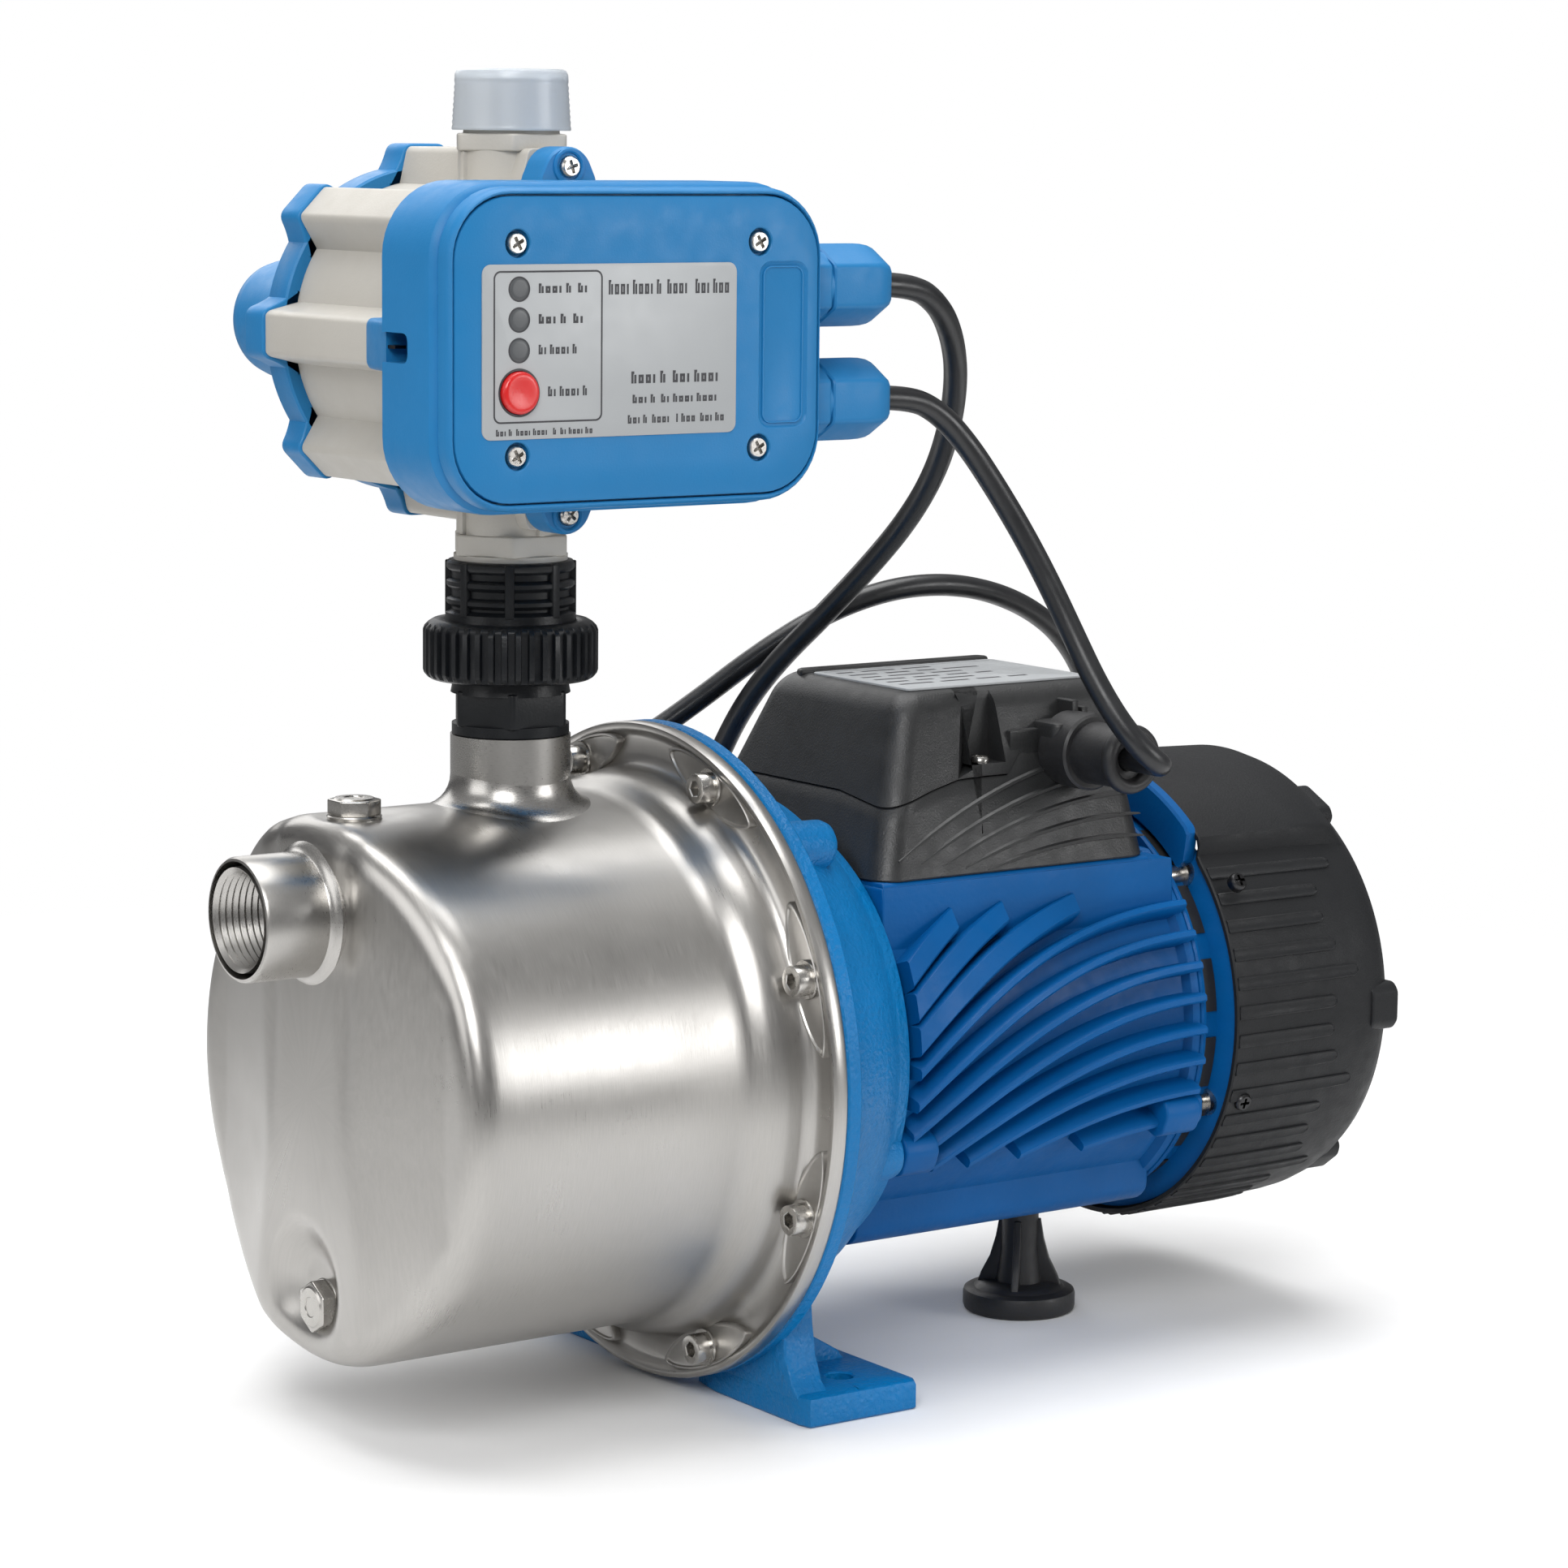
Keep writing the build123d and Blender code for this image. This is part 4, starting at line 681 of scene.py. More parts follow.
def build_ports():
    suction = Shape(lengthwise(0, 0, 170))
    outside = [(-151, 20), (-170, 20), (-186.3, 20), (-187.3, 19.4), (-187.5, 18.6)]
    threaded_tube(suction, outside, 15.3, 2.31, -187.3, -166, 1.4, -151)
    collar = [(-165.6, 20.0), (-164.8, 20.5), (-164.2, 21.4), (-163.6, 22.2), (-162.8, 23.0), (-160, 23),
              (-160, 19.9)]
    suction.lathe(collar, 96)
    suction.done("suction_stub", stainless_port, replaces=["suction_port"], sharp=40)
    stub = Shape(STACK)
    stub.lathe([(192, 19.5), (222.4, 19.5), (222.4, 16.8), (192, 16.8)], 96)
    saddle(stub, STACK_X, 8.5, 9.5, 19.5)
    stub.done("outlet_stub", stainless_stub, replaces=["discharge_port"], sharp=40)


def hex_plug(name, node, body, matrix):
    """A washer-faced hexagon plug, its head along the local z axis from 0."""
    plug = Shape(matrix)
    plug.lathe([(0, 5.0), (0, 8.6), (0.9, 8.8), (1.3, 8.4), (1.3, 5.0)], 48)
    plug.lathe([(-9, 0.01), (-9, 4.9), (1, 4.9), (1, 0.01)], 32, closed=False)
    plug.prism(rounded(regular(6, 8.66, 30), 0.8, 2), 1.2, 6.3, 0.5)
    crown = [(6.2, 0.01), (6.2, 7.0), (6.75, 6.2), (6.8, 3.4), (6.5, 3.1), (6.5, 0.01)]
    plug.lathe(crown, 40, closed=False)
    plug.done(name, bright_steel, body, [node], sharp=30)


def build_flange_hardware():
    pads = Shape(SHAFT)
    heads = Shape(SHAFT)
    rows = ((0.0, -33.0), (0.0, -35.0), (0.15, -35.5), (0.5, -35.7), (0.9, -35.6), (1.3, -35.1),
            (1.6, -35.0))
    for angle in SCREW_ANGLES:
        turn = turned(SHAFT, angle, BOLT_RING)
        pads.loft([level(lens_outline(inset), z) for inset, z in rows], turn)
        socket_head(heads, turn, -35.2, 5.0, 6.0)
        heads.lathe([(-35, 0.01), (-35, 3), (-26, 3), (-26, 0.01)], 24, turn, closed=False)
        heads.lathe([(-36.0, 3), (-36.0, 6.2), (-35.4, 6.4), (-35.0, 6.2), (-35.0, 3)], 40, turn)
    pads.done("flange_pressings", stainless, replaces=["flange_pads"], sharp=30)
    heads.done("flange_screws", bright_steel, replaces=["flange_bolts"], sharp=30)


def lens_outline(inset):
    """A long rounded lens, its long way local y, drawn in by inset."""
    steps = 24
    half, outer, inner = 25.5 - 1.7 * inset, 6.6 - inset, 7.4 - inset
    points = []
    for k in range(2 * steps):
        turn = math.pi * (k / steps - 0.5)
        bow = abs(math.cos(turn)) ** 1.3
        side = outer if k < steps else -inner
        points.append((side * bow, half * math.sin(turn)))
    return points


def socket_head(shape, matrix, base, radius, height):
    """A hexagon socket cap screw head standing towards local -z from base."""
    sides = 48
    top = base - height
    key = radius * 0.54
    hexagon = []
    for k in range(sides):
        angle = 360 * k / sides
        local = math.radians((angle % 60) - 30)
        hexagon.append(polar(key * math.cos(math.pi / 6) / math.cos(local), angle))
    circle = regular(sides, radius)

    def scaled(points, size, z):
        return [(x * size, y * size, z) for x, y in points]
    shape.loft([
        scaled(circle, 1, base), scaled(circle, 1, top + 0.7), scaled(circle, 0.965, top + 0.2),
        scaled(circle, 0.87, top), scaled(hexagon, 1.12, top), scaled(hexagon, 1, top + 0.3),
        scaled(hexagon, 0.97, top + height * 0.55), scaled(hexagon, 0.02, top + height * 0.6),
    ], matrix)


build_casing()
build_ports()
hex_plug("filling_plug", "priming_plug", "fill_plug", upright(FILL_X, 0, 199))
hex_plug("draining_plug", "drain_plug", "drain",
         lengthwise(-155.5, 0, 42) @ Matrix.Rotation(math.pi, 4, "Y"))
build_flange_hardware()


# ---- motor -----------------------------------------------------------------------------
BODY_R = 70.0
FIN_R = 77.0
LOBES = (-24.0, 204.0)    # angles of the two near and far tie-screw lugs
LOBE_RING = 72


def build_bracket():
    bracket = Shape(SHAFT)
    bell = [(-30, 98), (-30, 109.3), (-29.3, 110), (-25.2, 110), (-24.2, 109.2), (-23.4, 105),
            (-22.6, 101.5), (-20.5, 98.2), (-16, 95.2), (-8, 92), (0, 88.5), (6, 85), (10, 81.6),
            (13, 78.6), (15.5, 76.8), (19.4, 76), (20, 75.4), (20, 60), (14, 60), (6, 74), (-18, 86),
            (-28, 90)]
    bracket.lathe(bell, 144)
    boss = [(-26, 0.01), (-26, 8.6), (-4, 8.2), (-1.6, 7.2), (0, 5.2), (0.4, 0.01)]
    for angle in (53.0, 127.0):
        bracket.lathe(boss, 36, turned(SHAFT, angle, 93), closed=False)
    lobe = [(-8, 0.01), (-8, 9.6), (4, 9.2), (17.6, 8.6), (19.4, 8.0), (20, 6.6), (20, 0.01)]
    for angle in LOBES:
        turn = turned(SHAFT, angle, LOBE_RING)
        bracket.lathe(lobe, 36, turn, closed=False)
        bracket.prism(rounded([(-14, -15), (0, -9.4), (6, 0), (0, 9.4), (-14, 15)], 3), -4, 19, 1.2, turn)
    for side in (-1, 1):
        foot(bracket, side)
    bracket.done("bracket_casting", cast_blue, replaces=["motor_bracket"], sharp=38)


def foot(shape, side):
    """A foot plate with its bolt hole and the sloped web that carries it."""
    hole_y = side * 66
    ring = regular(40, 4.5, 0, (0, hole_y))
    sole = []
    for x, y in ring:
        dy = y - hole_y
        reach = min((20 if x > 0 else 26) / max(1e-6, abs(x)),
                    (18 if dy * side > 0 else 47) / max(1e-6, abs(dy)))
        sole.append((x * reach, hole_y + dy * reach))

    def grown(grow, z):
        return [(x + grow * (1 if x > -3 else -1), y + grow * (1 if y > side * 51.5 else -1), z)
                for x, y in sole]
    loops = [grown(-0.8, 0.0), level(sole, 0.8), level(sole, 8.4), grown(-0.5, 9.5), grown(-1.6, 10)]
    widen = [(x * 1.14, hole_y + (y - hole_y) * 1.14) for x, y in ring]
    loops += [level(widen, 10), level(ring, 9.5), level(ring, 0.4), level(widen, 0.0)]
    shape.loft(loops, UP, closed=True)
    curve = [(side * y, z) for y, z in
             ((19.5, 8), (80, 8), (75, 12.5), (71.5, 20), (69.5, 30), (68, 46), (64, 58), (30, 50))]
    shape.prism(curve if side > 0 else curve[::-1], -26, -13.5, 0.8, lengthwise())
    rib = [(-20, 8), (16, 8), (12, 13), (2, 19), (-6, 30), (-9, 44), (-20, 44)]
    shape.prism(rib, -4.5, 4.5, 0.8, crosswise(0, side * 44, 0))


def fin_angle(start, x):
    """How far round the body a fin sits at x: level at the fan end, steep at the bracket."""
    return start + 33.0 * (max(0.0, 150 - x) / 122) ** 2.15


def build_fin(shape, start, mirror):
    """One curved fin, cut off where the flats above and below the finned side begin."""
    first_x, last_x, upper, lower = 24.0, 147.0, 142.5, 209.5
    xs = [mix(first_x, last_x, k / 40) for k in range(41)]
    stations = [(x, fin_angle(start, x)) for x in xs if upper <= fin_angle(start, x) <= lower]
    if len(stations) < 4:
        return
    extra = 2.2 if start < 140 else 0.0
    slope = [math.atan2(math.radians(b[1] - a[1]) * FIN_R, b[0] - a[0])
             for a, b in zip(stations, stations[1:])]
    slope.append(slope[-1])
    loops = []
    for (x, angle), lean in zip(stations, slope):
        flank = [(BODY_R - 2.5, 2.5 + extra), (BODY_R - 0.6, 2.1 + extra), (FIN_R - 0.8, 1.5 + extra),
                 (FIN_R, 0.8 + extra)]
        section = flank + [(reach, -half) for reach, half in reversed(flank)]
        ring = []
        for reach, half in section:
            width = half / max(0.3, math.cos(lean))
            turn = angle + math.degrees(width / reach)
            turn = 180 - turn if mirror else turn
            ring.append((*polar(reach, turn), x))
        loops.append(ring)
    shape.loft(loops)


def build_housing():
    body = Shape(SHAFT)
    barrel = [(20, 56.2), (20, 71.5), (23, 71.5), (25, 69), (143, 69), (145, 71.5), (148, 72), (148, 56.2)]

    def trimmed(angle, _, radius):
        """The barrel is flat under the terminal box."""
        top = math.sin(math.radians(angle))
        return min(radius, 58.6 / top) if top > 0.5 and radius > 60 else radius
    body.lathe(barrel, 160, radius_at=trimmed)
    lower = [(-58.5, 140), (58.5, 140), (58, 165), (57.4, 169.5), (-57.4, 169.5), (-58, 165)]
    body.prism(lower, 21, 146, 1.0, lengthwise())
    body.prism(round_rect(114, 24, 2, 4, (0, 159)), 22, 136, 0.6, lengthwise())
    base = [(-47, 92), (-46.5, 50), (-41, 45.5), (41, 45.5), (46.5, 50), (47, 92)]
    body.prism(rounded(base, [1, 4, 4, 4, 4, 1], 3), 20.5, 147.5, 1.2, lengthwise())
    for mirror in (False, True):
        for start in (121, 129.5, 138, 146.2, 154.7, 163.2, 171.6, 180, 188.2, 196.5, 204.8):
            build_fin(body, start, mirror)
    lug = rounded([(-9, -7.5), (5, -7), (8, -3.5), (8, 3.5), (5, 7), (-9, 7.5)], 1.6, 3)
    for angle in LOBES:
        for x0, x1 in ((20.2, 34), (132, 147.6)):
            body.prism(lug, x0, x1, 1.0, turned(SHAFT, angle, LOBE_RING))
    body.done("motor_body", motor_blue, replaces=["motor_housing"], sharp=38)


def build_shield():
    shield = Shape(SHAFT)
    ring = [(148, 60), (148, 72.4), (148.8, 73), (150.2, 72.4), (151.4, 69.6), (157.4, 69.6),
            (158.6, 74), (160, 77.4), (162, 77.4), (162, 60)]
    shield.lathe(ring, 160)
    lip = []
    for k in range(49):
        angle = mix(46, 134, k / 48)
        fade = min(1, (angle - 46) / 4, (134 - angle) / 4)
        edge, crest = mix(76, 84.9, fade), mix(76.6, 85.8, fade)
        section = [(154.6, 72), (154.6, edge), (155.4, crest), (158.6, crest), (159.4, edge), (159.4, 72)]
        lip.append([(*polar(r, angle), x) for x, r in section])
    shield.loft(lip)
    for angle in LOBES:
        ear = rounded([(-9, -7), (4, -7), (7, 0), (4, 7), (-9, 7)], 2, 3)
        shield.prism(ear, 146.8, 149.6, 0.6, turned(SHAFT, angle, LOBE_RING))
    shield.done("end_shield", motor_blue, replaces=["rear_end_shield"], sharp=38)
    # Black prisms standing just proud of the shield's throat: painted shade in place of the dark insides of the
    # vent slots
    slot_shade = Shape(SHAFT)
    for k in range(16):
        middle = 11.25 + 22.5 * k
        arc = [middle + 7.5 * (t / 4 - 1) for t in range(9)]
        outline = [polar(70.1, a) for a in arc] + [polar(67, a) for a in reversed(arc)]
        slot_shade.prism(outline, 151.9, 156.9, 0.0)
    slot_shade.done("shield_slots_painted_shade", black_rubber)


def cover_radius(angle, x, radius):
    """The fan cover's round wall with its raised upper zone."""
    from_top = abs((angle - 90 + 180) % 360 - 180)
    raised = smoothstep(45.5, 42.5, from_top)
    fade = smoothstep(229, 218, x)
    return radius + 5.4 * raised * fade if radius > 76.5 else radius


def build_fan_cover():
    cover = Shape(SHAFT)
    wall = [(158, 78.2), (158, 79.6), (158.6, 80), (180, 80), (200, 79.7), (216, 79.2), (222, 78.6),
            (227, 77.4), (231, 75.2), (233.6, 72), (235, 67.5), (235, 63), (232.5, 63), (231.4, 69),
            (228, 73.4), (220, 76.2), (200, 77.2)]
    cover.lathe(wall, 240, radius_at=cover_radius)
    for k in range(-18, 19):
        if k:
            strip(cover, 270 + 7.2 * k, 159, (203, 206, 215, 204)[k % 4])
    for angle, width in ((0, 17), (180, 17), (63, 20), (117, 20), (233, 16), (307, 16)):
        high = 79.6 if angle in (0, 180) else 78.0
        block = rounded([(66, -width / 2), (high - 2.5, -width / 2), (high, -width / 2 + 3),
                         (high, width / 2 - 3), (high - 2.5, width / 2), (66, width / 2)], 1.5, 3)
        cover.prism(block, 221, 233.6, 1.2, turned(SHAFT, angle))
    cover.lathe([(232.4, 0.01), (232.4, 20.5), (234.2, 20.5), (235, 19.5), (235, 0.01)], 96, closed=False)
    for mid in (29, 38.5, 48, 57.5):
        cover.lathe([(232.6, mid - 2.4), (232.6, mid + 2.4), (234.4, mid + 2.4), (234.9, mid + 1.8),
                     (234.9, mid - 1.8), (234.4, mid - 2.4)], 120)
    for angle in SCREW_ANGLES:
        cover.box(18, 65, -2.6, 2.6, 232.7, 234.9, 0.5, turned(SHAFT, angle))
    cover.done("fan_hood", charcoal, replaces=["fan_cover"], sharp=30)
    screws = Shape()
    for angle, face in ((-20.0, 79.8), (35.0, 85.2), (145.0, 85.2), (200.0, 79.8)):
        y, z = polar(1, angle)
        turn = columns((1, 0, 0), Vector((0, y, z)).cross(Vector((1, 0, 0))), (0, y, z),
                       (165, face * y, AXIS_Z + face * z))
        pan_head(screws, turn, 3.3, 1.8)
    screws.done("hood_screws", dark_zinc, replaces=["fan_cover_screws"], sharp=30)


def strip(shape, angle, x0, x1):
    """A low flat strip along the fan cover, from its front edge to a round end."""
    loops = []
    for x, wide, high in ((x0, 2.3, 0.5), (x0 + 0.6, 2.4, 0.75), (x1 - 12, 2.4, 0.75), (x1 - 2.4, 2.3, 0.7),
                          (x1 - 1.2, 1.9, 0.6), (x1 - 0.4, 1.2, 0.45), (x1, 0.4, 0.1)):
        base = 80 - 0.8 * smoothstep(190, 220, x)
        half = [(base - 1.5, wide + 0.2), (base - 0.05, wide), (base + high * 0.7, wide - 0.12),
                (base + high, wide - 0.5), (base + high * 0.55, wide * 0.5)]
        section = [(r, -y) for r, y in half] + [(base + high * 0.5, 0)] + half[::-1]
        loops.append(level(section, x))
    shape.loft(loops, turned(SHAFT, angle))


def pan_head(shape, matrix, radius, height):
    """A cross-recessed pan head standing towards local +z from 0."""
    sides = 48
    arm, gap = radius * 0.62, radius * 0.16
    recess = []
    for k in range(sides):
        angle = 360 * k / sides
        local = abs((angle + 45) % 90 - 45)
        reach = min(arm, gap / max(0.08, math.sin(math.radians(local))))
        recess.append(polar(reach, angle))

    def ring(size, z):
        return level(regular(sides, radius * size), z)

    def cut(size, z):
        return [(x * size, y * size, z) for x, y in recess]
    shape.loft([ring(1, -1.5), ring(1, 0), ring(1, height * 0.3), ring(0.93, height * 0.7),
                ring(0.78, height), cut(1.0, height), cut(0.9, height * 0.2), cut(0.05, height * 0.1)],
               matrix)


def build_support_foot():
    at = upright(127.6)
    rubber = Shape(at)
    rubber.lathe([(0, 0.01), (0, 18.6), (0.7, 19.6), (2.0, 20), (6.2, 20), (7.4, 19.6), (8.0, 18.6),
                  (8.3, 16.2), (9.4, 15), (10.2, 13), (10.6, 0.01)], 72, closed=False)
    rubber.lathe([(8, 0.01), (8, 8.6), (22, 6.7), (46.5, 6.5), (46.5, 0.01)], 48, closed=False)
    rubber.lathe([(41, 0.01), (41, 7.6), (46.5, 8.2), (46.5, 0.01)], 48, closed=False)
    for k in range(4):
        web = [(0, 9), (15, 9), (13.6, 13), (10.6, 19), (8.6, 26), (7.4, 33), (0, 34)]
        rubber.prism(web, -1.3, 1.3, 0.4, turned(at, 45 + 90 * k) @ crosswise())
    rubber.done("rubber_foot", black_rubber, replaces=["support_foot"], sharp=35)


build_bracket()
build_housing()
build_shield()
build_fan_cover()
build_support_foot()


# ---- terminal box ----------------------------------------------------------------------
BOX_Z0 = 171.0
BOX_Z1 = 231.0
SLOT = (67.0, 81.0)
SLOT_FLOOR = 206.0
BOX_JOINT = 171.6         # where the walls above the bottom rim begin
BOX_SHOULDER = 223.5      # where the cover's walls turn into its top
# stations along the long sides: shares of the side, X beside the slot, shares again
NEAR_XS = ([0.0, 0.1, 0.22, 0.34], [66.7, 67.0, 69.5, 74.0, 78.5, 81.0, 81.3],
           [0.56, 0.62, 0.63, 0.74, 0.86, 1.0])


def box_ring(z, inset=0.0, pocket=False):
    """The box outline at height z, always with the same count of points."""
    s = min(1.0, (z - BOX_Z0) / (BOX_Z1 - BOX_Z0))
    x0, x1 = mix(21, 44, s) + inset, mix(137, 133, s) - inset
    half = mix(57, 37, s) - inset
    r = max(1.5, mix(9, 8, s) - inset)
    left, middle, right = NEAR_XS
    span = (x0 + r, x1 - r)
    run = [mix(*span, u) for u in left] + list(middle) + [mix(*span, u) for u in right]
    run = [min(max(x, span[0]), span[1]) for x in run]

    def depth(x):
        return min(half, 36.0) if pocket and SLOT[0] - 0.01 <= x <= SLOT[1] + 0.01 else half

    def corner(x, y, first):
        return [(x + polar(r, a)[0], y + polar(r, a)[1]) for a in range(first, first + 75, 15)]
    ring = [(x, -depth(x)) for x in run]
    ring += corner(x1 - r, -half + r, -75)
    ring += [(x1, mix(-half + r, half - r, t / 4)) for t in range(5)]
    ring += corner(x1 - r, half - r, 15)
    ring += [(x, depth(x)) for x in reversed(run)]
    ring += corner(x0 + r, half - r, 105)
    ring += [(x0, mix(half - r, -half + r, t / 4)) for t in range(5)]
    return ring + corner(x0 + r, -half + r, 195)


def parting(x, y):
    """Height of the joint between box base and cover."""
    dip = 9.0 * smoothstep(66, 27, x) * smoothstep(-20, -45, y)
    far = 5.0 * smoothstep(66, 30, x) * smoothstep(-45, -20, y)
    step = 9.0 * smoothstep(87.6, 88.4, x)
    rise = 3.0 * smoothstep(92, 134, x) * smoothstep(0, -30, y)
    return 202.0 - dip - far + step + rise


def above_joint(x, y):
    """The cover's lower edge, raised to the floor of the screw slots."""
    return max(parting(x, y) + 0.5, SLOT_FLOOR if SLOT[0] - 1 < x < SLOT[1] + 1 else 0)


def box_level(height, inset=0.0, pocket=False):
    """A ring whose height is a function of where each point lies."""
    points = []
    for i, (x, y) in enumerate(box_ring(205, inset)):
        z = height(x, y)
        points.append((*box_ring(z, inset, pocket)[i], z))
    return points


def build_terminal_box():
    lower = Shape()
    rows = [box_level(lambda x, y: BOX_Z0, 1.6), box_level(lambda x, y: BOX_Z0, 0.6),
            box_level(lambda x, y: BOX_JOINT, 0.0)]
    for share in (0.2, 0.4, 0.6, 0.8, 0.97):
        rows.append(box_level(lambda x, y, t=share: mix(BOX_JOINT, parting(x, y), t)))
    rows.append(box_level(lambda x, y: parting(x, y) - 0.3, 0.35))
    rows.append(box_level(lambda x, y: parting(x, y) - 0.3, 3.0))
    lower.loft(rows)
    for k in range(5):
        for mirror in (-1, 1):
            sweep_line(lower, k, mirror)
    lower.done("box_base", black_plastic, replaces=["terminal_box_base"], sharp=30)

    upper = Shape()
    rows = [box_level(parting, 3.0), box_level(parting, 0.1),
            box_level(lambda x, y: parting(x, y) + 0.3, -0.5), box_level(above_joint, -0.5),
            box_level(above_joint, -0.5, True)]
    for share in (0.15, 0.35, 0.55, 0.75, 1.0):
        rows.append(box_level(lambda x, y, t=share: mix(max(parting(x, y) + 0.5, SLOT_FLOOR),
                                                        BOX_SHOULDER, t), -0.5, True))
    for angle in (12, 25, 38, 51, 64, 77, 90):
        draw, rise = polar(1, angle)
        rows.append(box_level(lambda x, y, h=rise: BOX_SHOULDER + 7.5 * h, 6.0 - 6.5 * draw, True))
    rows.append(box_level(lambda x, y: BOX_Z1, 14, True))
    upper.loft(rows)
    lip = rounded([(46, 24.5), (129, 24.5), (127, 30), (48, 30)], 2, 3)
    upper.prism(lip, 229, 232.4, 1.2)
    for k in range(4):
        x, y = 108 + 5.2 * k, -48.0 + 1.2 * k
        outline = rounded([(x, y), (x + 3.2, y + 0.5), (x + 3.2, -30), (x, -30)], 0.8, 2)
        upper.prism(outline, 212, 225.5 - 2.6 * k, 0.8)
    upper.box(84, 104, -44.6, -36, 206.5, 216.5, 0.8)
    upper.prism(round_rect(24, 15, 3, 4, (108, -47)), 203, 219, 1.5)
    upper.done("box_cover", black_plastic, replaces=["terminal_box_cover"], sharp=30)

    screws = Shape()
    for side in (-1, 1):
        pan_head(screws, upright(74, side * 41, SLOT_FLOOR), 3.4, 2.0)
    screws.done("cover_screws", bright_steel, replaces=["box_screws"], sharp=30)

    film = Shape()
    film.prism(round_rect(78, 55, 2.0, 4, (88, -5.5)), BOX_Z1 - 0.3, BOX_Z1 + 0.6, 0.2)
    film.done("rating_plate", silver_film, replaces=["nameplate"], sharp=30)
    lines = Shape()
    z = BOX_Z1 + 0.62
    for row in range(6):
        y = 14 - 7.2 * row
        x = 54
        for step in range(3 + (row * 2) % 4):
            wide = 7 + (row * 5 + step * 7) % 9
            if x + wide > 121:
                break
            lines.box(x, x + wide, y - 1.0, y + 1.0, z - 0.05, z, 0.0)
            x += wide + 3.5
    lines.box(52, 124, 18.6, 19.0, z - 0.05, z, 0.0)
    lines.done("rating_plate_print", print_ink)

    gland = Shape(crosswise(108, 0, 209))
    gland.lathe([(46, 4.2), (46, 13), (59.2, 13), (60, 12.2), (60, 10.6), (63, 10.5), (77.0, 10.3),
                 (77.0, 4.2)], 72)
    gland.lathe([(79.2 + 2.9 * along, 9.3 + 2.5 * out) for along, out in regular(14, 1)], 72)
    gland.lathe([(76.5, 4.3), (76.5, 8.6), (78, 8.2), (78.4, 6.6), (78, 4.3)], 60)
    gland.done("box_cable_gland", black_rubber, replaces=["box_gland"], sharp=35)


def sweep_line(shape, index, mirror):
    """A raised line that sweeps up the side of the box base."""
    loops = []
    start_x, start_z = 30 + 9 * index, 177.5 - 1.4 * index
    for k in range(15):
        t = k / 14
        x = mix(start_x, 135.4, t)
        z = start_z + (29.5 - 4.4 * index) * (1 - (1 - t) ** 1.9) - 1.5 * index * t
        s = (z - BOX_Z0) / (BOX_Z1 - BOX_Z0)
        half = mix(57, 37, s)
        size = 0.85 * min(1.0, 0.25 + 5 * t, 0.25 + 5 * (1 - t))
        root, crest = mirror * (half - 0.6), mirror * (half + size * 0.75)
        loops.append([(x, root, z - size * 1.4), (x, crest, z - size * 0.6),
                      (x, crest, z + size * 0.6), (x, root, z + size * 1.4)])
    shape.loft(loops, UP)


build_terminal_box()


# ---- union -----------------------------------------------------------------------------
def build_valve_spring():
    """The flow valve's spring, which shortens as the valve lifts."""
    spring = Shape(UP)
    path = []
    for k in range(85):
        x, y = polar(7, 24 * k)
        path.append((STACK_X + x, y, mix(302, 321, k / 84)))
    spring.tube(path, 0.7, 12)
    piece = spring.done("valve_coil", bright_steel, replaces=["valve_spring"], sharp=60)
    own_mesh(piece)


def build_union():
    adapter = Shape(STACK)
    adapter.lathe([(222.2, 17), (222.2, 18.4), (222.8, 19), (226, 19), (226, 17)], 72)
    adapter.prism(rounded(regular(6, 20.2, 0), 1.2, 3), 225.4, 237.2, 0.8)
    adapter.lathe([(236, 12.5), (236, 19.4), (238, 19), (243, 19), (243, 23.6), (244, 24), (247, 24),
                   (247, 12.5)], 72)
    adapter.done("union_lower", union_plastic, replaces=["union_adapter"], sharp=35)

    tail = Shape(STACK)
    tail.lathe([(247.1, 13), (247.1, 24), (252, 24), (254, 22), (257, 21.4), (262.0, 21.0), (262.4, 20.4),
                (263.2, 19.3), (264, 19.3), (264.5, 20.2), (265.2, 20.8), (266.4, 20.8), (267.1, 20.2),
                (267.5, 19.3), (269.6, 19.3), (270.2, 20.2), (270.9, 20.8), (272.2, 20.8), (272.9, 20.2),
                (273.3, 19.3), (275.2, 19.3), (275.8, 20.3), (276.6, 20.8), (278.0, 20.8), (278.8, 20),
                (279, 18.6), (279, 13)], 96)
    rib = rounded([(-2, -1.7), (1.5, -1.5), (1.5, 1.5), (-2, 1.7)], 0.4, 2)
    for k in range(8):
        tail.prism(rib, 261, 278.6, 0.5, turned(STACK, 45 * k + 12, 19.6))
    tail.done("union_upper", union_plastic, replaces=["union_tail"], sharp=35)

    nut = Shape(STACK)
    teeth = 40
    outer = [(360 * k / teeth + shift, reach) for k in range(teeth)
             for shift, reach in ((-2.4, 26.9), (-1.7, 28.3), (1.7, 28.3), (2.4, 26.9))]
    rows = []
    for z, grow, share in ((240.5, -1.6, 0), (241.2, -0.5, 0), (242.4, 0, 0.6), (243.4, 0, 1), (256.2, 0, 1),
                           (257.4, -0.1, 0.5), (258.6, -0.9, 0), (259.5, -2.4, 0)):
        rows.append([(*polar(mix(27.5, reach, share) + grow, angle), z) for angle, reach in outer])
    for z, reach in ((259.5, 21.6), (258.6, 19.8), (252, 19.8), (252, 24.3), (240.5, 24.3)):
        rows.append([(*polar(reach, angle), z) for angle, _ in outer])
    nut.loft(rows, closed=True)
    nut.done("union_ring", union_plastic, "nut", ["union_nut"], sharp=40)


build_union()
build_valve_spring()


# ---- controller ------------------------------------------------------------------------
LAMPS = (0.0, 9.2, 18.4)
BUTTON_AT = (-44.3, -12.7)
BUTTON_HOLE = 6.75
SCREW_RING = 54.5
LID_TOP = 75.0
LID_SCREWS = [(x, y) for x in (-44.5, 44.5) for y in (-32, 32)]


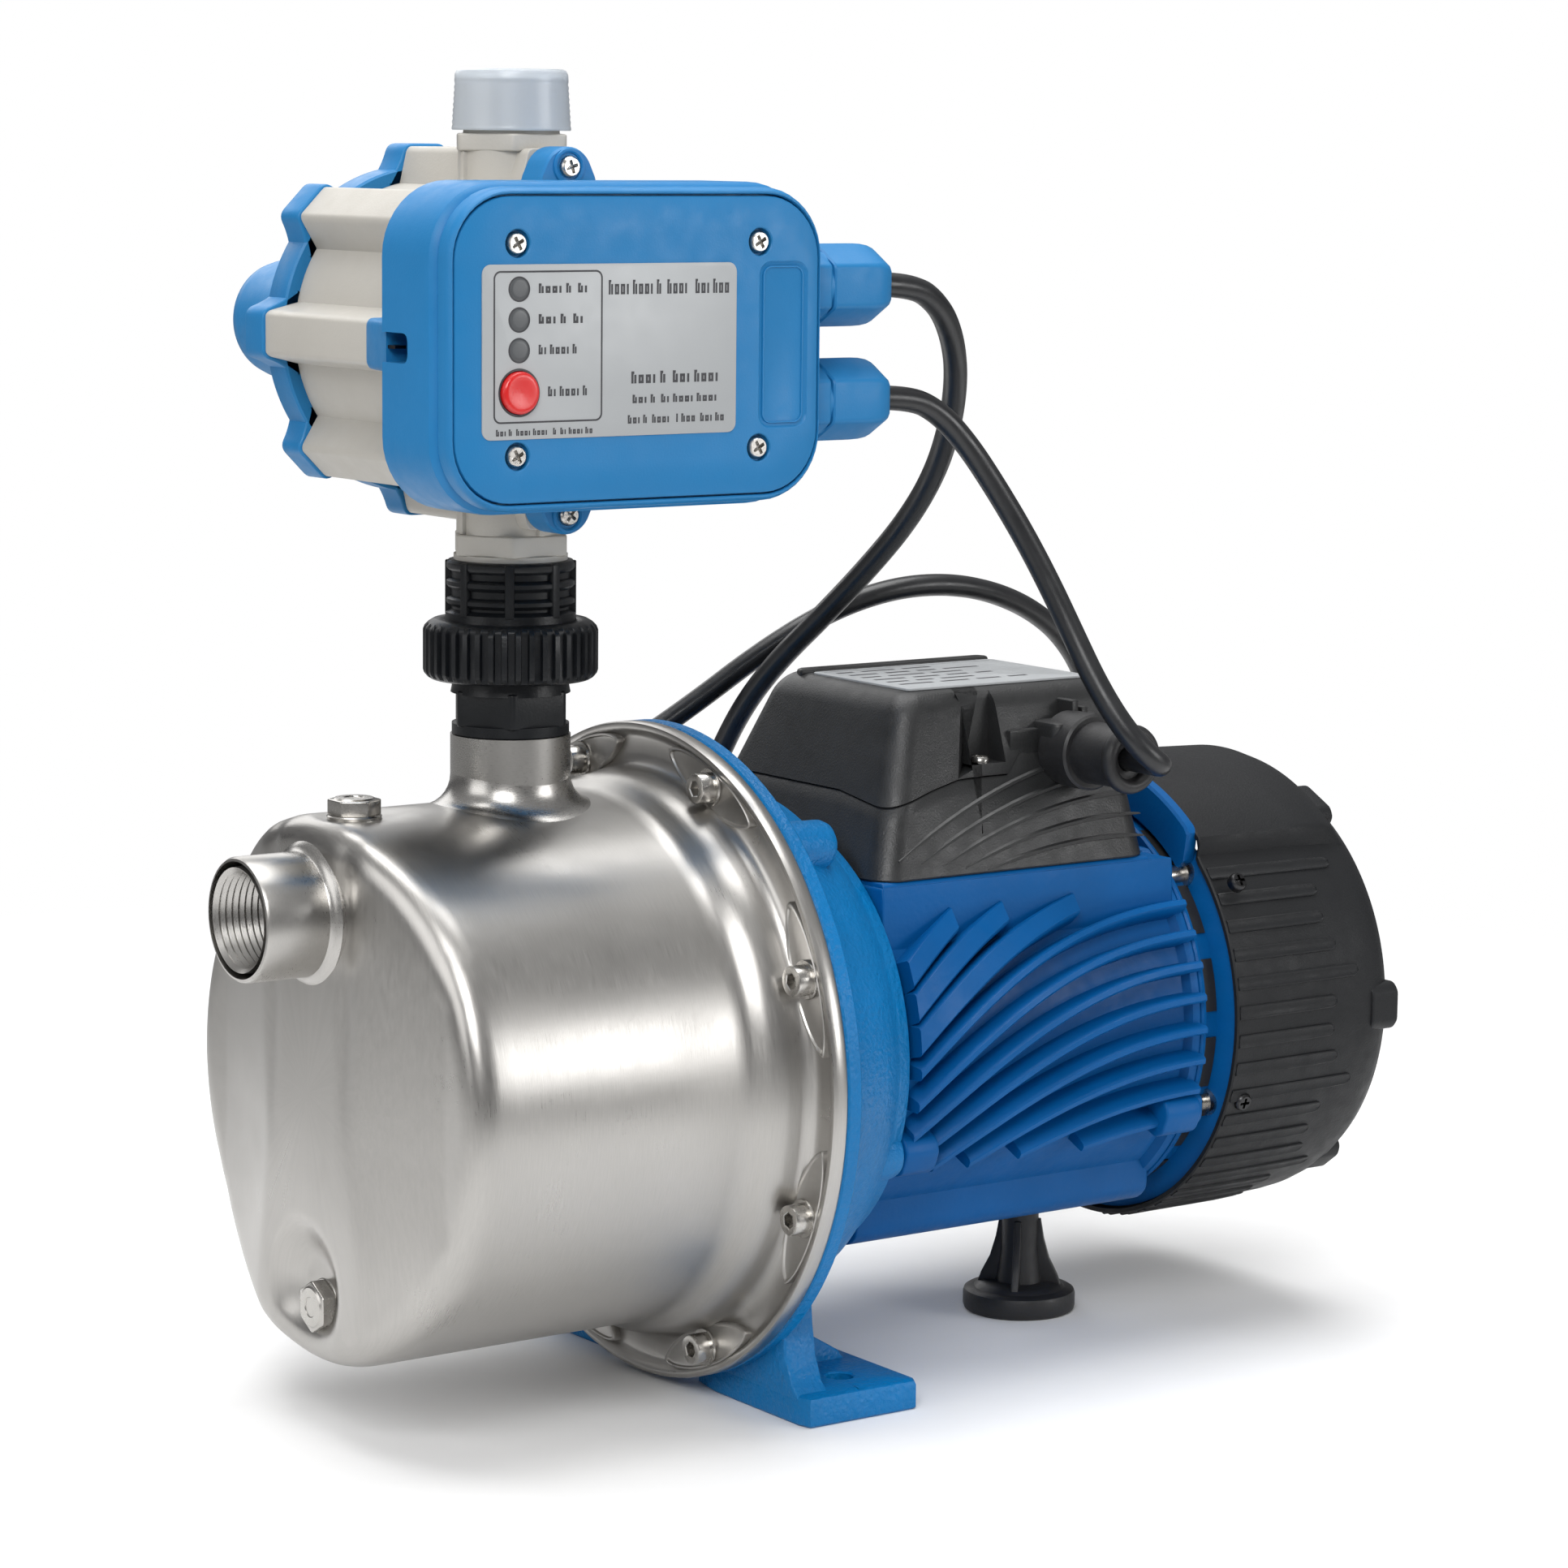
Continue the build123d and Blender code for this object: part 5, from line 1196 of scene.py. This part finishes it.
def frame_loop(width, height, radius, z, centre=(0, 0)):
    return level(round_rect(width, height, radius, 10, centre), z)


def plate(shape, rows, pits):
    """A thick plate whose top face has round pits or slots in it."""
    def ring(loop):
        return [shape.bm.verts.new((shape.matrix @ Vector(p)) * MM) for p in loop]

    def skin(low, high):
        for i in range(len(low)):
            j = (i + 1) % len(low)
            shape.bm.faces.new((low[i], low[j], high[j], high[i]))
    walls = [ring(loop) for loop in rows]
    for low, high in zip(walls, walls[1:]):
        skin(low, high)
    shape.bm.faces.new(walls[0][::-1])
    rims = [walls[-1]]
    for pit in pits:
        steps = [ring(loop) for loop in pit]
        for low, high in zip(steps, steps[1:]):
            skin(low, high)
        shape.bm.faces.new(steps[-1])
        rims.append(steps[0])
    edges = [shape.bm.edges.get((rim[i - 1], rim[i])) for rim in rims for i in range(len(rim))]
    bmesh.ops.triangle_fill(shape.bm, use_beauty=True, use_dissolve=False, edges=edges)


def pit(x, y, radius, floor):
    """A round blind hole in the lid, for plate()."""
    rows = ((radius + 0.35, LID_TOP), (radius, LID_TOP - 0.35), (radius - 0.05, floor))
    return [level(regular(40, r, 0, (x, y)), z) for r, z in rows]


def build_controller_body():
    body = Shape(CTRL)
    body.lathe([(37, 42), (37, 49), (-53, 49), (-53, 42)], 144)
    rib = rounded([(46, -10.4), (58.6, -7.4), (60, -6.2), (60, 6.2), (58.6, 7.4), (46, 10.4)], 0.9, 3)
    for k in range(8):
        body.prism(rib, -53, 21.5 if k % 2 == 0 else 36.9, 0.4, turned(CTRL, 45 * k))
    for z0, z1, r in ((287.5, 312, 17.5), (388, 409, 17.0)):
        body.lathe([(z0, 12), (z0, r), (z1, r), (z1, 12)], 72, STACK)
        for side in (0, 90, 180, 270):
            web = [(14, -1.3), (r + 1.3, -0.9), (r + 1.3, 0.9), (14, 1.3)]
            body.prism(web, z0, z1, 0.3, turned(STACK, side))
    for z0, z1, flat in ((280.6, 287.5, 35.3), (409, 414.5, 34.4)):
        body.prism(rounded(regular(6, flat / math.sqrt(3), 0), 1.5, 4), z0, z1, 0.7, STACK)
    body.lathe([(279, 12), (279, 18.4), (280.8, 18.4), (280.8, 12)], 72, STACK)
    ridges = [(433, 15.2)]
    z = 432.0
    while z > 416.4:
        ridges += [(z, 16.6), (z - 0.5, 16.6), (z - 1.15, 15.2)]
        z -= 1.814
    neck = [(408, 12.3), (433.4, 12.3), (433.4, 14.6)] + ridges + [(414.6, 15.4), (414.4, 17), (408, 17)]
    body.lathe(neck, 96, STACK)
    body.lathe([(264, 12.3), (264, 16), (281, 16), (281, 12.3)], 48, STACK)
    body.done("controller_core", grey_plastic, replaces=["controller_body"], sharp=35)


def build_rear_cover():
    cover = Shape(CTRL)
    dome = [(-53, 47), (-53, 52.8), (-53.6, 53.5), (-64, 53.5), (-65, 52.8), (-65, 50), (-71, 44),
            (-74.5, 35), (-78, 26), (-84, 20.9), (-88, 20.5), (-144, 20.5), (-148.5, 19.6), (-151.6, 17.4),
            (-154, 13.4), (-155.5, 7.4), (-156, 0.01), (-151, 0.01), (-142, 16), (-80, 16), (-62, 42),
            (-55, 42)]
    cover.lathe(dome, 144)
    lobe = rounded([(47, -14.5), (55, -9.6), (60.9, -7.6), (60.9, 7.6), (55, 9.6), (47, 14.5)],
                   [1, 4, 4.5, 4.5, 4, 1], 5)
    web = [(19, -66), (50, -64), (46, -70), (34, -76), (24, -88), (19, -110)]
    for k in range(8):
        cover.prism(lobe, -53, -65, 0.9, turned(CTRL, 45 * k))
        cover.prism(web, -1.2, 1.2, 0.4, turned(CTRL, 45 * k) @ crosswise())
    cover.done("rear_ring", ctrl_blue, replaces=["rear_cover"], sharp=35)


def build_housing_front():
    shell = Shape(CTRL)
    rows = ((118, 80, 12, 39), (138.4, 99.2, 22.4, 37), (140, 100.8, 23, 38), (140, 100.8, 23, 63.4),
            (139.6, 100.4, 22.8, 65.0), (137.6, 98.4, 21.8, 66.2), (135.4, 96.2, 20.7, 66.8),
            (135.6, 96.4, 20.8, 67.4), (137.0, 97.8, 21.5, 68.4), (137.0, 97.8, 21.5, 71.4),
            (136.7, 97.5, 21.3, 73.0), (136.0, 96.6, 21.0, 74.3), (135.2, 95.2, 20.5, 74.9),
            (134.8, 94.2, 20.2, 74.9), (134.5, 93.5, 20.0, 74.4), (134.4, 93.3, 19.9, 71.4))
    shell.loft([frame_loop(*row) for row in rows])
    housing = shell.done("controller_shell", ctrl_blue, replaces=["controller_housing"], sharp=32)
    for side in (-1, 1):
        cutter = Shape(CTRL @ columns((0, 0, 1), (0, 1, 0), (side, 0, 0), (side * SCREW_RING, 0, 0)))
        channel = rounded([(30, -4.6), (53, -4.6), (53, 4.6), (30, 4.6)], [0.1, 3, 3, 0.1], 4)
        cutter.prism(channel, -4.6, 20)
        carve(housing, cutter.done("cutter", ctrl_blue))


def carve(piece, cutter):
    """Takes the cutter's volume out of a piece for good."""
    cut = piece.modifiers.new("cut", "BOOLEAN")
    cut.operation = "DIFFERENCE"
    cut.solver = "EXACT"
    cut.object = cutter
    bpy.context.view_layer.update()
    mesh = bpy.data.meshes.new_from_object(piece.evaluated_get(bpy.context.evaluated_depsgraph_get()))
    piece.modifiers.remove(cut)
    piece.data = mesh
    mesh.set_sharp_from_angle(angle=math.radians(32))
    bpy.data.objects.remove(cutter)


def build_lugs():
    lugs = Shape(CTRL)
    arch = [(36, -13.5), (44, -12.4), (51.5, -10.2)]
    arch += [(51.4 + polar(9.3, a)[0], polar(9.3, a)[1]) for a in range(-70, 71, 10)]
    arch += [(51.5, 10.2), (44, 12.4), (36, 13.5)]
    rim = [(33.2, 4.2), (34.2, 4.3), (34.5, 4.9), (34.4, 5.6), (33.4, 5.9)]
    for angle in (90, 270):
        lugs.loft([level(shrink(arch, inset), z)
                   for inset, z in ((0.5, 22.1), (0, 22.7), (0, 32.9), (0.6, 33.8))], turned(CTRL, angle))
        lugs.lathe(rim, 40, turned(CTRL, angle, SCREW_RING))
    rows = []
    for z, out, wide in ((13.5, 58.5, 5.0), (14.0, 60.5, 6.4), (15.5, 62.4, 7.4), (18.5, 63.8, 7.9),
                         (24, 65.2, 8.0), (32, 67.2, 8.0), (38, 68.6, 8.0)):
        block = [(40, -wide), (out, -wide), (out, wide), (40, wide)]
        rows.append(level(rounded(block, [0.5, 2.2, 2.2, 0.5], 4), z))
    for angle in (0, 180):
        lugs.loft(rows, turned(CTRL, angle))
    lugs.done("housing_lugs", ctrl_blue, sharp=32)
    dark = Shape(CTRL)
    head = [(36, 0.01), (36, 4.3), (40.4, 4.3), (41.2, 3.6), (41.4, 2.0), (41.0, 0.01)]
    for angle in (0, 180):
        turn = turned(CTRL, angle, SCREW_RING)
        dark.lathe(head, 36, turn, closed=False)
        dark.box(9.4, 13.5, -0.5, 0.5, 37.5, 42.2, 0.2, turn)
    dark.done("pocket_screws", dark_zinc)


def build_lid():
    lid = Shape(CTRL)
    rows = ((133.4, 92.2, 19.6, 71.6), (133.6, 92.4, 19.7, 72.4), (133.6, 92.4, 19.7, 74.3),
            (133.2, 92.0, 19.5, 74.8), (132.4, 91.2, 19.1, LID_TOP))
    pits = [pit(x, y, 4.3, 73.0) for x, y in LID_SCREWS]
    pits.append(pit(*BUTTON_AT, BUTTON_HOLE, 71.95))
    panel_at = (53.5, 0)
    panel = ((18.6, 52.1, 4.5, LID_TOP), (17.6, 51.1, 4.0, 74.5), (17.2, 50.7, 3.8, 74.4))
    pits.append([frame_loop(*row, panel_at) for row in panel])
    plate(lid, [frame_loop(*row) for row in rows], pits)
    rim = ((15.6, 49.2, 3.2, 74.2), (15.3, 48.9, 3.1, 74.9), (14.5, 48.1, 2.7, 74.9), (14.2, 47.8, 2.5, 74.2))
    lid.loft([frame_loop(*row, panel_at) for row in rim], closed=True)
    lid.done("controller_front", ctrl_blue, replaces=["controller_lid"], sharp=28)


def letters(shape, x0, x1, y, size, words, z):
    """A row of plain strokes that stands for printed words, from x0 to x1."""
    total = sum(words) + 0.75 * (len(words) - 1)
    step = (x1 - x0) / total
    x = x0
    for w, count in enumerate(words):
        for k in range(count):
            kind = (k * 7 + w * 5 + count) % 4
            low = y - size / 2
            top = low + (size if k == 0 or kind == 1 else size * 0.72)
            bar = step * 0.3
            right = x + step * 0.7
            strokes = [(x, x + bar, low, top)]
            if kind != 2:
                strokes += [(right - bar, right, low, low + size * 0.72), (x + bar, right - bar, top - bar, top)]
            if kind in (0, 3):
                strokes.append((x + bar, right - bar, low, low + bar))
            for stroke in strokes:
                shape.box(*stroke, z - 0.04, z, 0.0)
            x += step
        x += 0.75 * step


def build_label():
    label = Shape(CTRL)
    label.prism(round_rect(92.7, 52.6, 3, 8, (-11, -0.5)), 74.9, 75.4, 0.15)
    film = label.done("front_label", silver_film, replaces=["control_label"], sharp=28)
    cutter = Shape(CTRL)
    cutter.prism(regular(64, BUTTON_HOLE, 0, BUTTON_AT), 74, 77)
    carve(film, cutter.done("cutter", silver_film))
    ink = Shape(CTRL)
    z = 75.45
    border = ((39, 45.8, 2.4, z - 0.05), (39, 45.8, 2.4, z), (37.9, 44.7, 1.9, z), (37.9, 44.7, 1.9, z - 0.05))
    ink.loft([frame_loop(*row, (-33.9, 1.0)) for row in border], closed=True)
    for row in ((-37.4, -23.2, 0.2, 2.9, (7,)), (-37.4, -19.8, 9.4, 2.9, (4, 2)),
                (-37.4, -18.4, 18.6, 2.9, (5, 2)), (-34.0, -19.4, -12.5, 3.0, (7,)),
                (-52.5, -17.5, -24.6, 2.0, (4, 8, 1, 8)), (-12.2, 33.0, 18.6, 4.4, (9, 4, 6)),
                (-3.8, 30.2, -9.0, 3.7, (5, 7)), (-3.3, 29.4, -15.6, 2.6, (4, 10)),
                (-5.0, 31.3, -21.8, 2.6, (4, 4, 4, 5))):
        letters(ink, *row, z)
    ink.done("front_print", print_ink, sharp=28)
    button = Shape(CTRL)
    at = CTRL @ Matrix.Translation((*BUTTON_AT, 0))
    crown = [(74.3, 0.01), (74.3, 6.4), (76.2, 6.5), (77.0, 6.2), (77.35, 5.6), (77.4, 4.8), (77.25, 3.2),
             (77.1, 0.01)]
    button.lathe(crown, 60, at, closed=False)
    button.done("restart_cap", red_plastic, "button", ["restart_button"], sharp=40)
    rims = Shape(CTRL)
    rims.lathe([(75.3, 6.8), (75.3, 7.4), (75.55, 7.3), (75.6, 6.85)], 60, at)
    lamps = Shape(CTRL)
    lens = [(70, 0.01), (70, 3.3), (75.45, 3.35), (75.6, 3.1), (75.65, 2.2), (75.65, 0.01)]
    for lamp in LAMPS:
        lamp_at = CTRL @ Matrix.Translation((BUTTON_AT[0], lamp, 0))
        rims.lathe([(75.3, 3.3), (75.3, 3.9), (75.5, 3.8), (75.5, 3.35)], 48, lamp_at)
        lamps.lathe(lens, 48, lamp_at, closed=False)
    rims.done("lamp_rims", print_ink, sharp=40)
    lamps.done("indicator_lamps", lamp_grey, replaces=["indicator_leds"], sharp=40)


def build_controller_screws():
    screws = Shape(CTRL)
    for x, y in LID_SCREWS:
        pan_head(screws, CTRL @ Matrix.Translation((x, y, 73.0)) @ Matrix.Rotation(0.5, 4, "Z"), 3.6, 2.1)
    for k, (x, y) in enumerate(regular(4, SCREW_RING)):
        pan_head(screws, CTRL @ Matrix.Translation((x, y, 33.6)) @ Matrix.Rotation(0.3 * k, 4, "Z"), 3.5, 2.2)
    for x, y in regular(8, SCREW_RING):
        pan_head(screws, CTRL @ Matrix.Translation((x, y, -64.9)) @ Matrix.Rotation(math.pi, 4, "X"), 3.6, 2.4)
    screws.done("controller_fasteners", bright_steel, replaces=["controller_screws"], sharp=30)


def build_glands():
    glands = Shape()
    for z in (331.0, 367.5):
        at = lengthwise(0, -56, z)
        glands.lathe([(-22, 4.2), (-22, 9), (-14, 9), (-14, 4.2)], 60, at)
        glands.prism(rounded(regular(6, 13.4, 30), 1.2, 3), -15.6, -9, 0.8, at)
        glands.lathe([(-10, 5), (-10, 11.4), (-7.4, 11.4), (-7.4, 5)], 60, at)
        body = rounded(regular(6, 13.6, 30), 1.4, 4)
        turns = [math.degrees(math.atan2(y, x)) for x, y in body]
        rows = [[(x * 0.96, y * 0.96, -8.2) for x, y in body], level(body, -7.6), level(body, 3.6)]
        for along, reach, share in ((6.5, 13.0, 0.12), (9.5, 12.7, 0.32), (12, 12.2, 0.6), (14, 11.5, 0.9),
                                    (15.6, 10.5, 1), (16.6, 9.0, 1), (17.0, 7.4, 1), (16.8, 4.8, 1)):
            rows.append([(mix(x, polar(reach, a)[0], share), mix(y, polar(reach, a)[1], share), along)
                         for (x, y), a in zip(body, turns)])
        rows.append([(*polar(4.2, a), 11) for a in turns])
        glands.loft(rows, at)
    glands.done("controller_glands", ctrl_blue, replaces=["cable_glands"], sharp=32)


def build_cap():
    cap = Shape(STACK)
    outline = [(415.5, 17.3), (415.5, 18.8), (415.9, 19), (416.4, 18.95)]
    for k in range(8):
        outline += [(417.2 + 1.81 * k, 18.7 - 0.11 * k), (418.1 + 1.81 * k, 18.88 - 0.11 * k)]
    outline += [(433, 18.0), (434.2, 17.4), (434.8, 16.2), (434.8, 0.01), (433.6, 0.01), (433.6, 16.4)]
    z = 432.5
    while z > 417:
        outline += [(z, 17.0), (z - 0.9, 17.5)]
        z -= 1.8
    cap.lathe(outline, 96)
    cap.done("outlet_cap", milky, "cap", ["thread_cap"], sharp=35)


build_controller_body()
build_rear_cover()
build_housing_front()
build_lugs()
build_lid()
build_label()
build_controller_screws()
build_glands()
build_cap()


# ---- plug and tie ----------------------------------------------------------------------
def build_plug():
    x, z = COIL_AT[0] - COIL_R, 18.5
    at = crosswise(x, 0, z)
    plug = Shape()
    rows = []
    # Y, radius, height of the centre, share of flattening
    for y, radius, high, flat in ((214.5, 4.4, 14.0, 0), (215, 5.0, 14.0, 0), (222, 5.4, 14.4, 0),
                                  (222.6, 4.8, 14.4, 0), (225, 4.8, 14.6, 0), (225.6, 5.9, 14.8, 0),
                                  (231, 6.3, 15.2, 0), (231.6, 5.6, 15.3, 0), (234, 5.7, 15.4, 0),
                                  (234.6, 6.9, 15.6, 0), (239, 7.5, 16, 0), (243, 9.6, 16.8, 0.3),
                                  (247, 13.6, 17.8, 0.6), (250, 17.0, 18.4, 0.8), (252, 18.3, z, 1),
                                  (258, 18.3, z, 1), (258.6, 17.6, z, 1), (260.0, 17.6, z, 1),
                                  (260.6, 18.3, z, 1), (264, 18.2, z, 1), (265, 17.2, z, 1)):
        rows.append([(x + px, y, high + pz * mix(1, 0.97, flat)) for px, pz in regular(48, radius)])
    plug.loft(rows)
    for side in (-1, 1):
        grip = rounded([(side * 18.2, -6), (side * 18.2, 6), (side * 16, 8), (side * 16, -8)][::side], 0.6, 2)
        plug.prism(grip, -263, -253, 0.3, at)
    plug.done("plug_body", black_rubber, replaces=["mains_plug"], sharp=35)
    pins = Shape(at)
    pin = [(-264, 0.01), (-264, 2.4), (-282.6, 2.4), (-283.6, 1.9), (-284, 1.0), (-284, 0.01)]
    for side in (-1, 1):
        pins.lathe(pin, 32, at @ Matrix.Translation((side * 9.5, 0, 0)), closed=False)
    pins.done("plug_pins", bright_steel)
    tie = Shape(crosswise(COIL_AT[0] + COIL_R, 0, 9.5))
    outside, inside = round_rect(10, 18.6, 4.6, 6), round_rect(8.5, 17.1, 4.0, 6)
    tie.loft([level(outside, -188.5), level(outside, -181.5), level(inside, -181.5), level(inside, -188.5)],
             closed=True)
    tie.done("coil_band", black_plastic, replaces=["coil_tie"], sharp=35)


build_plug()

spline_length(motor_cord)
spline_length(mains_cord)
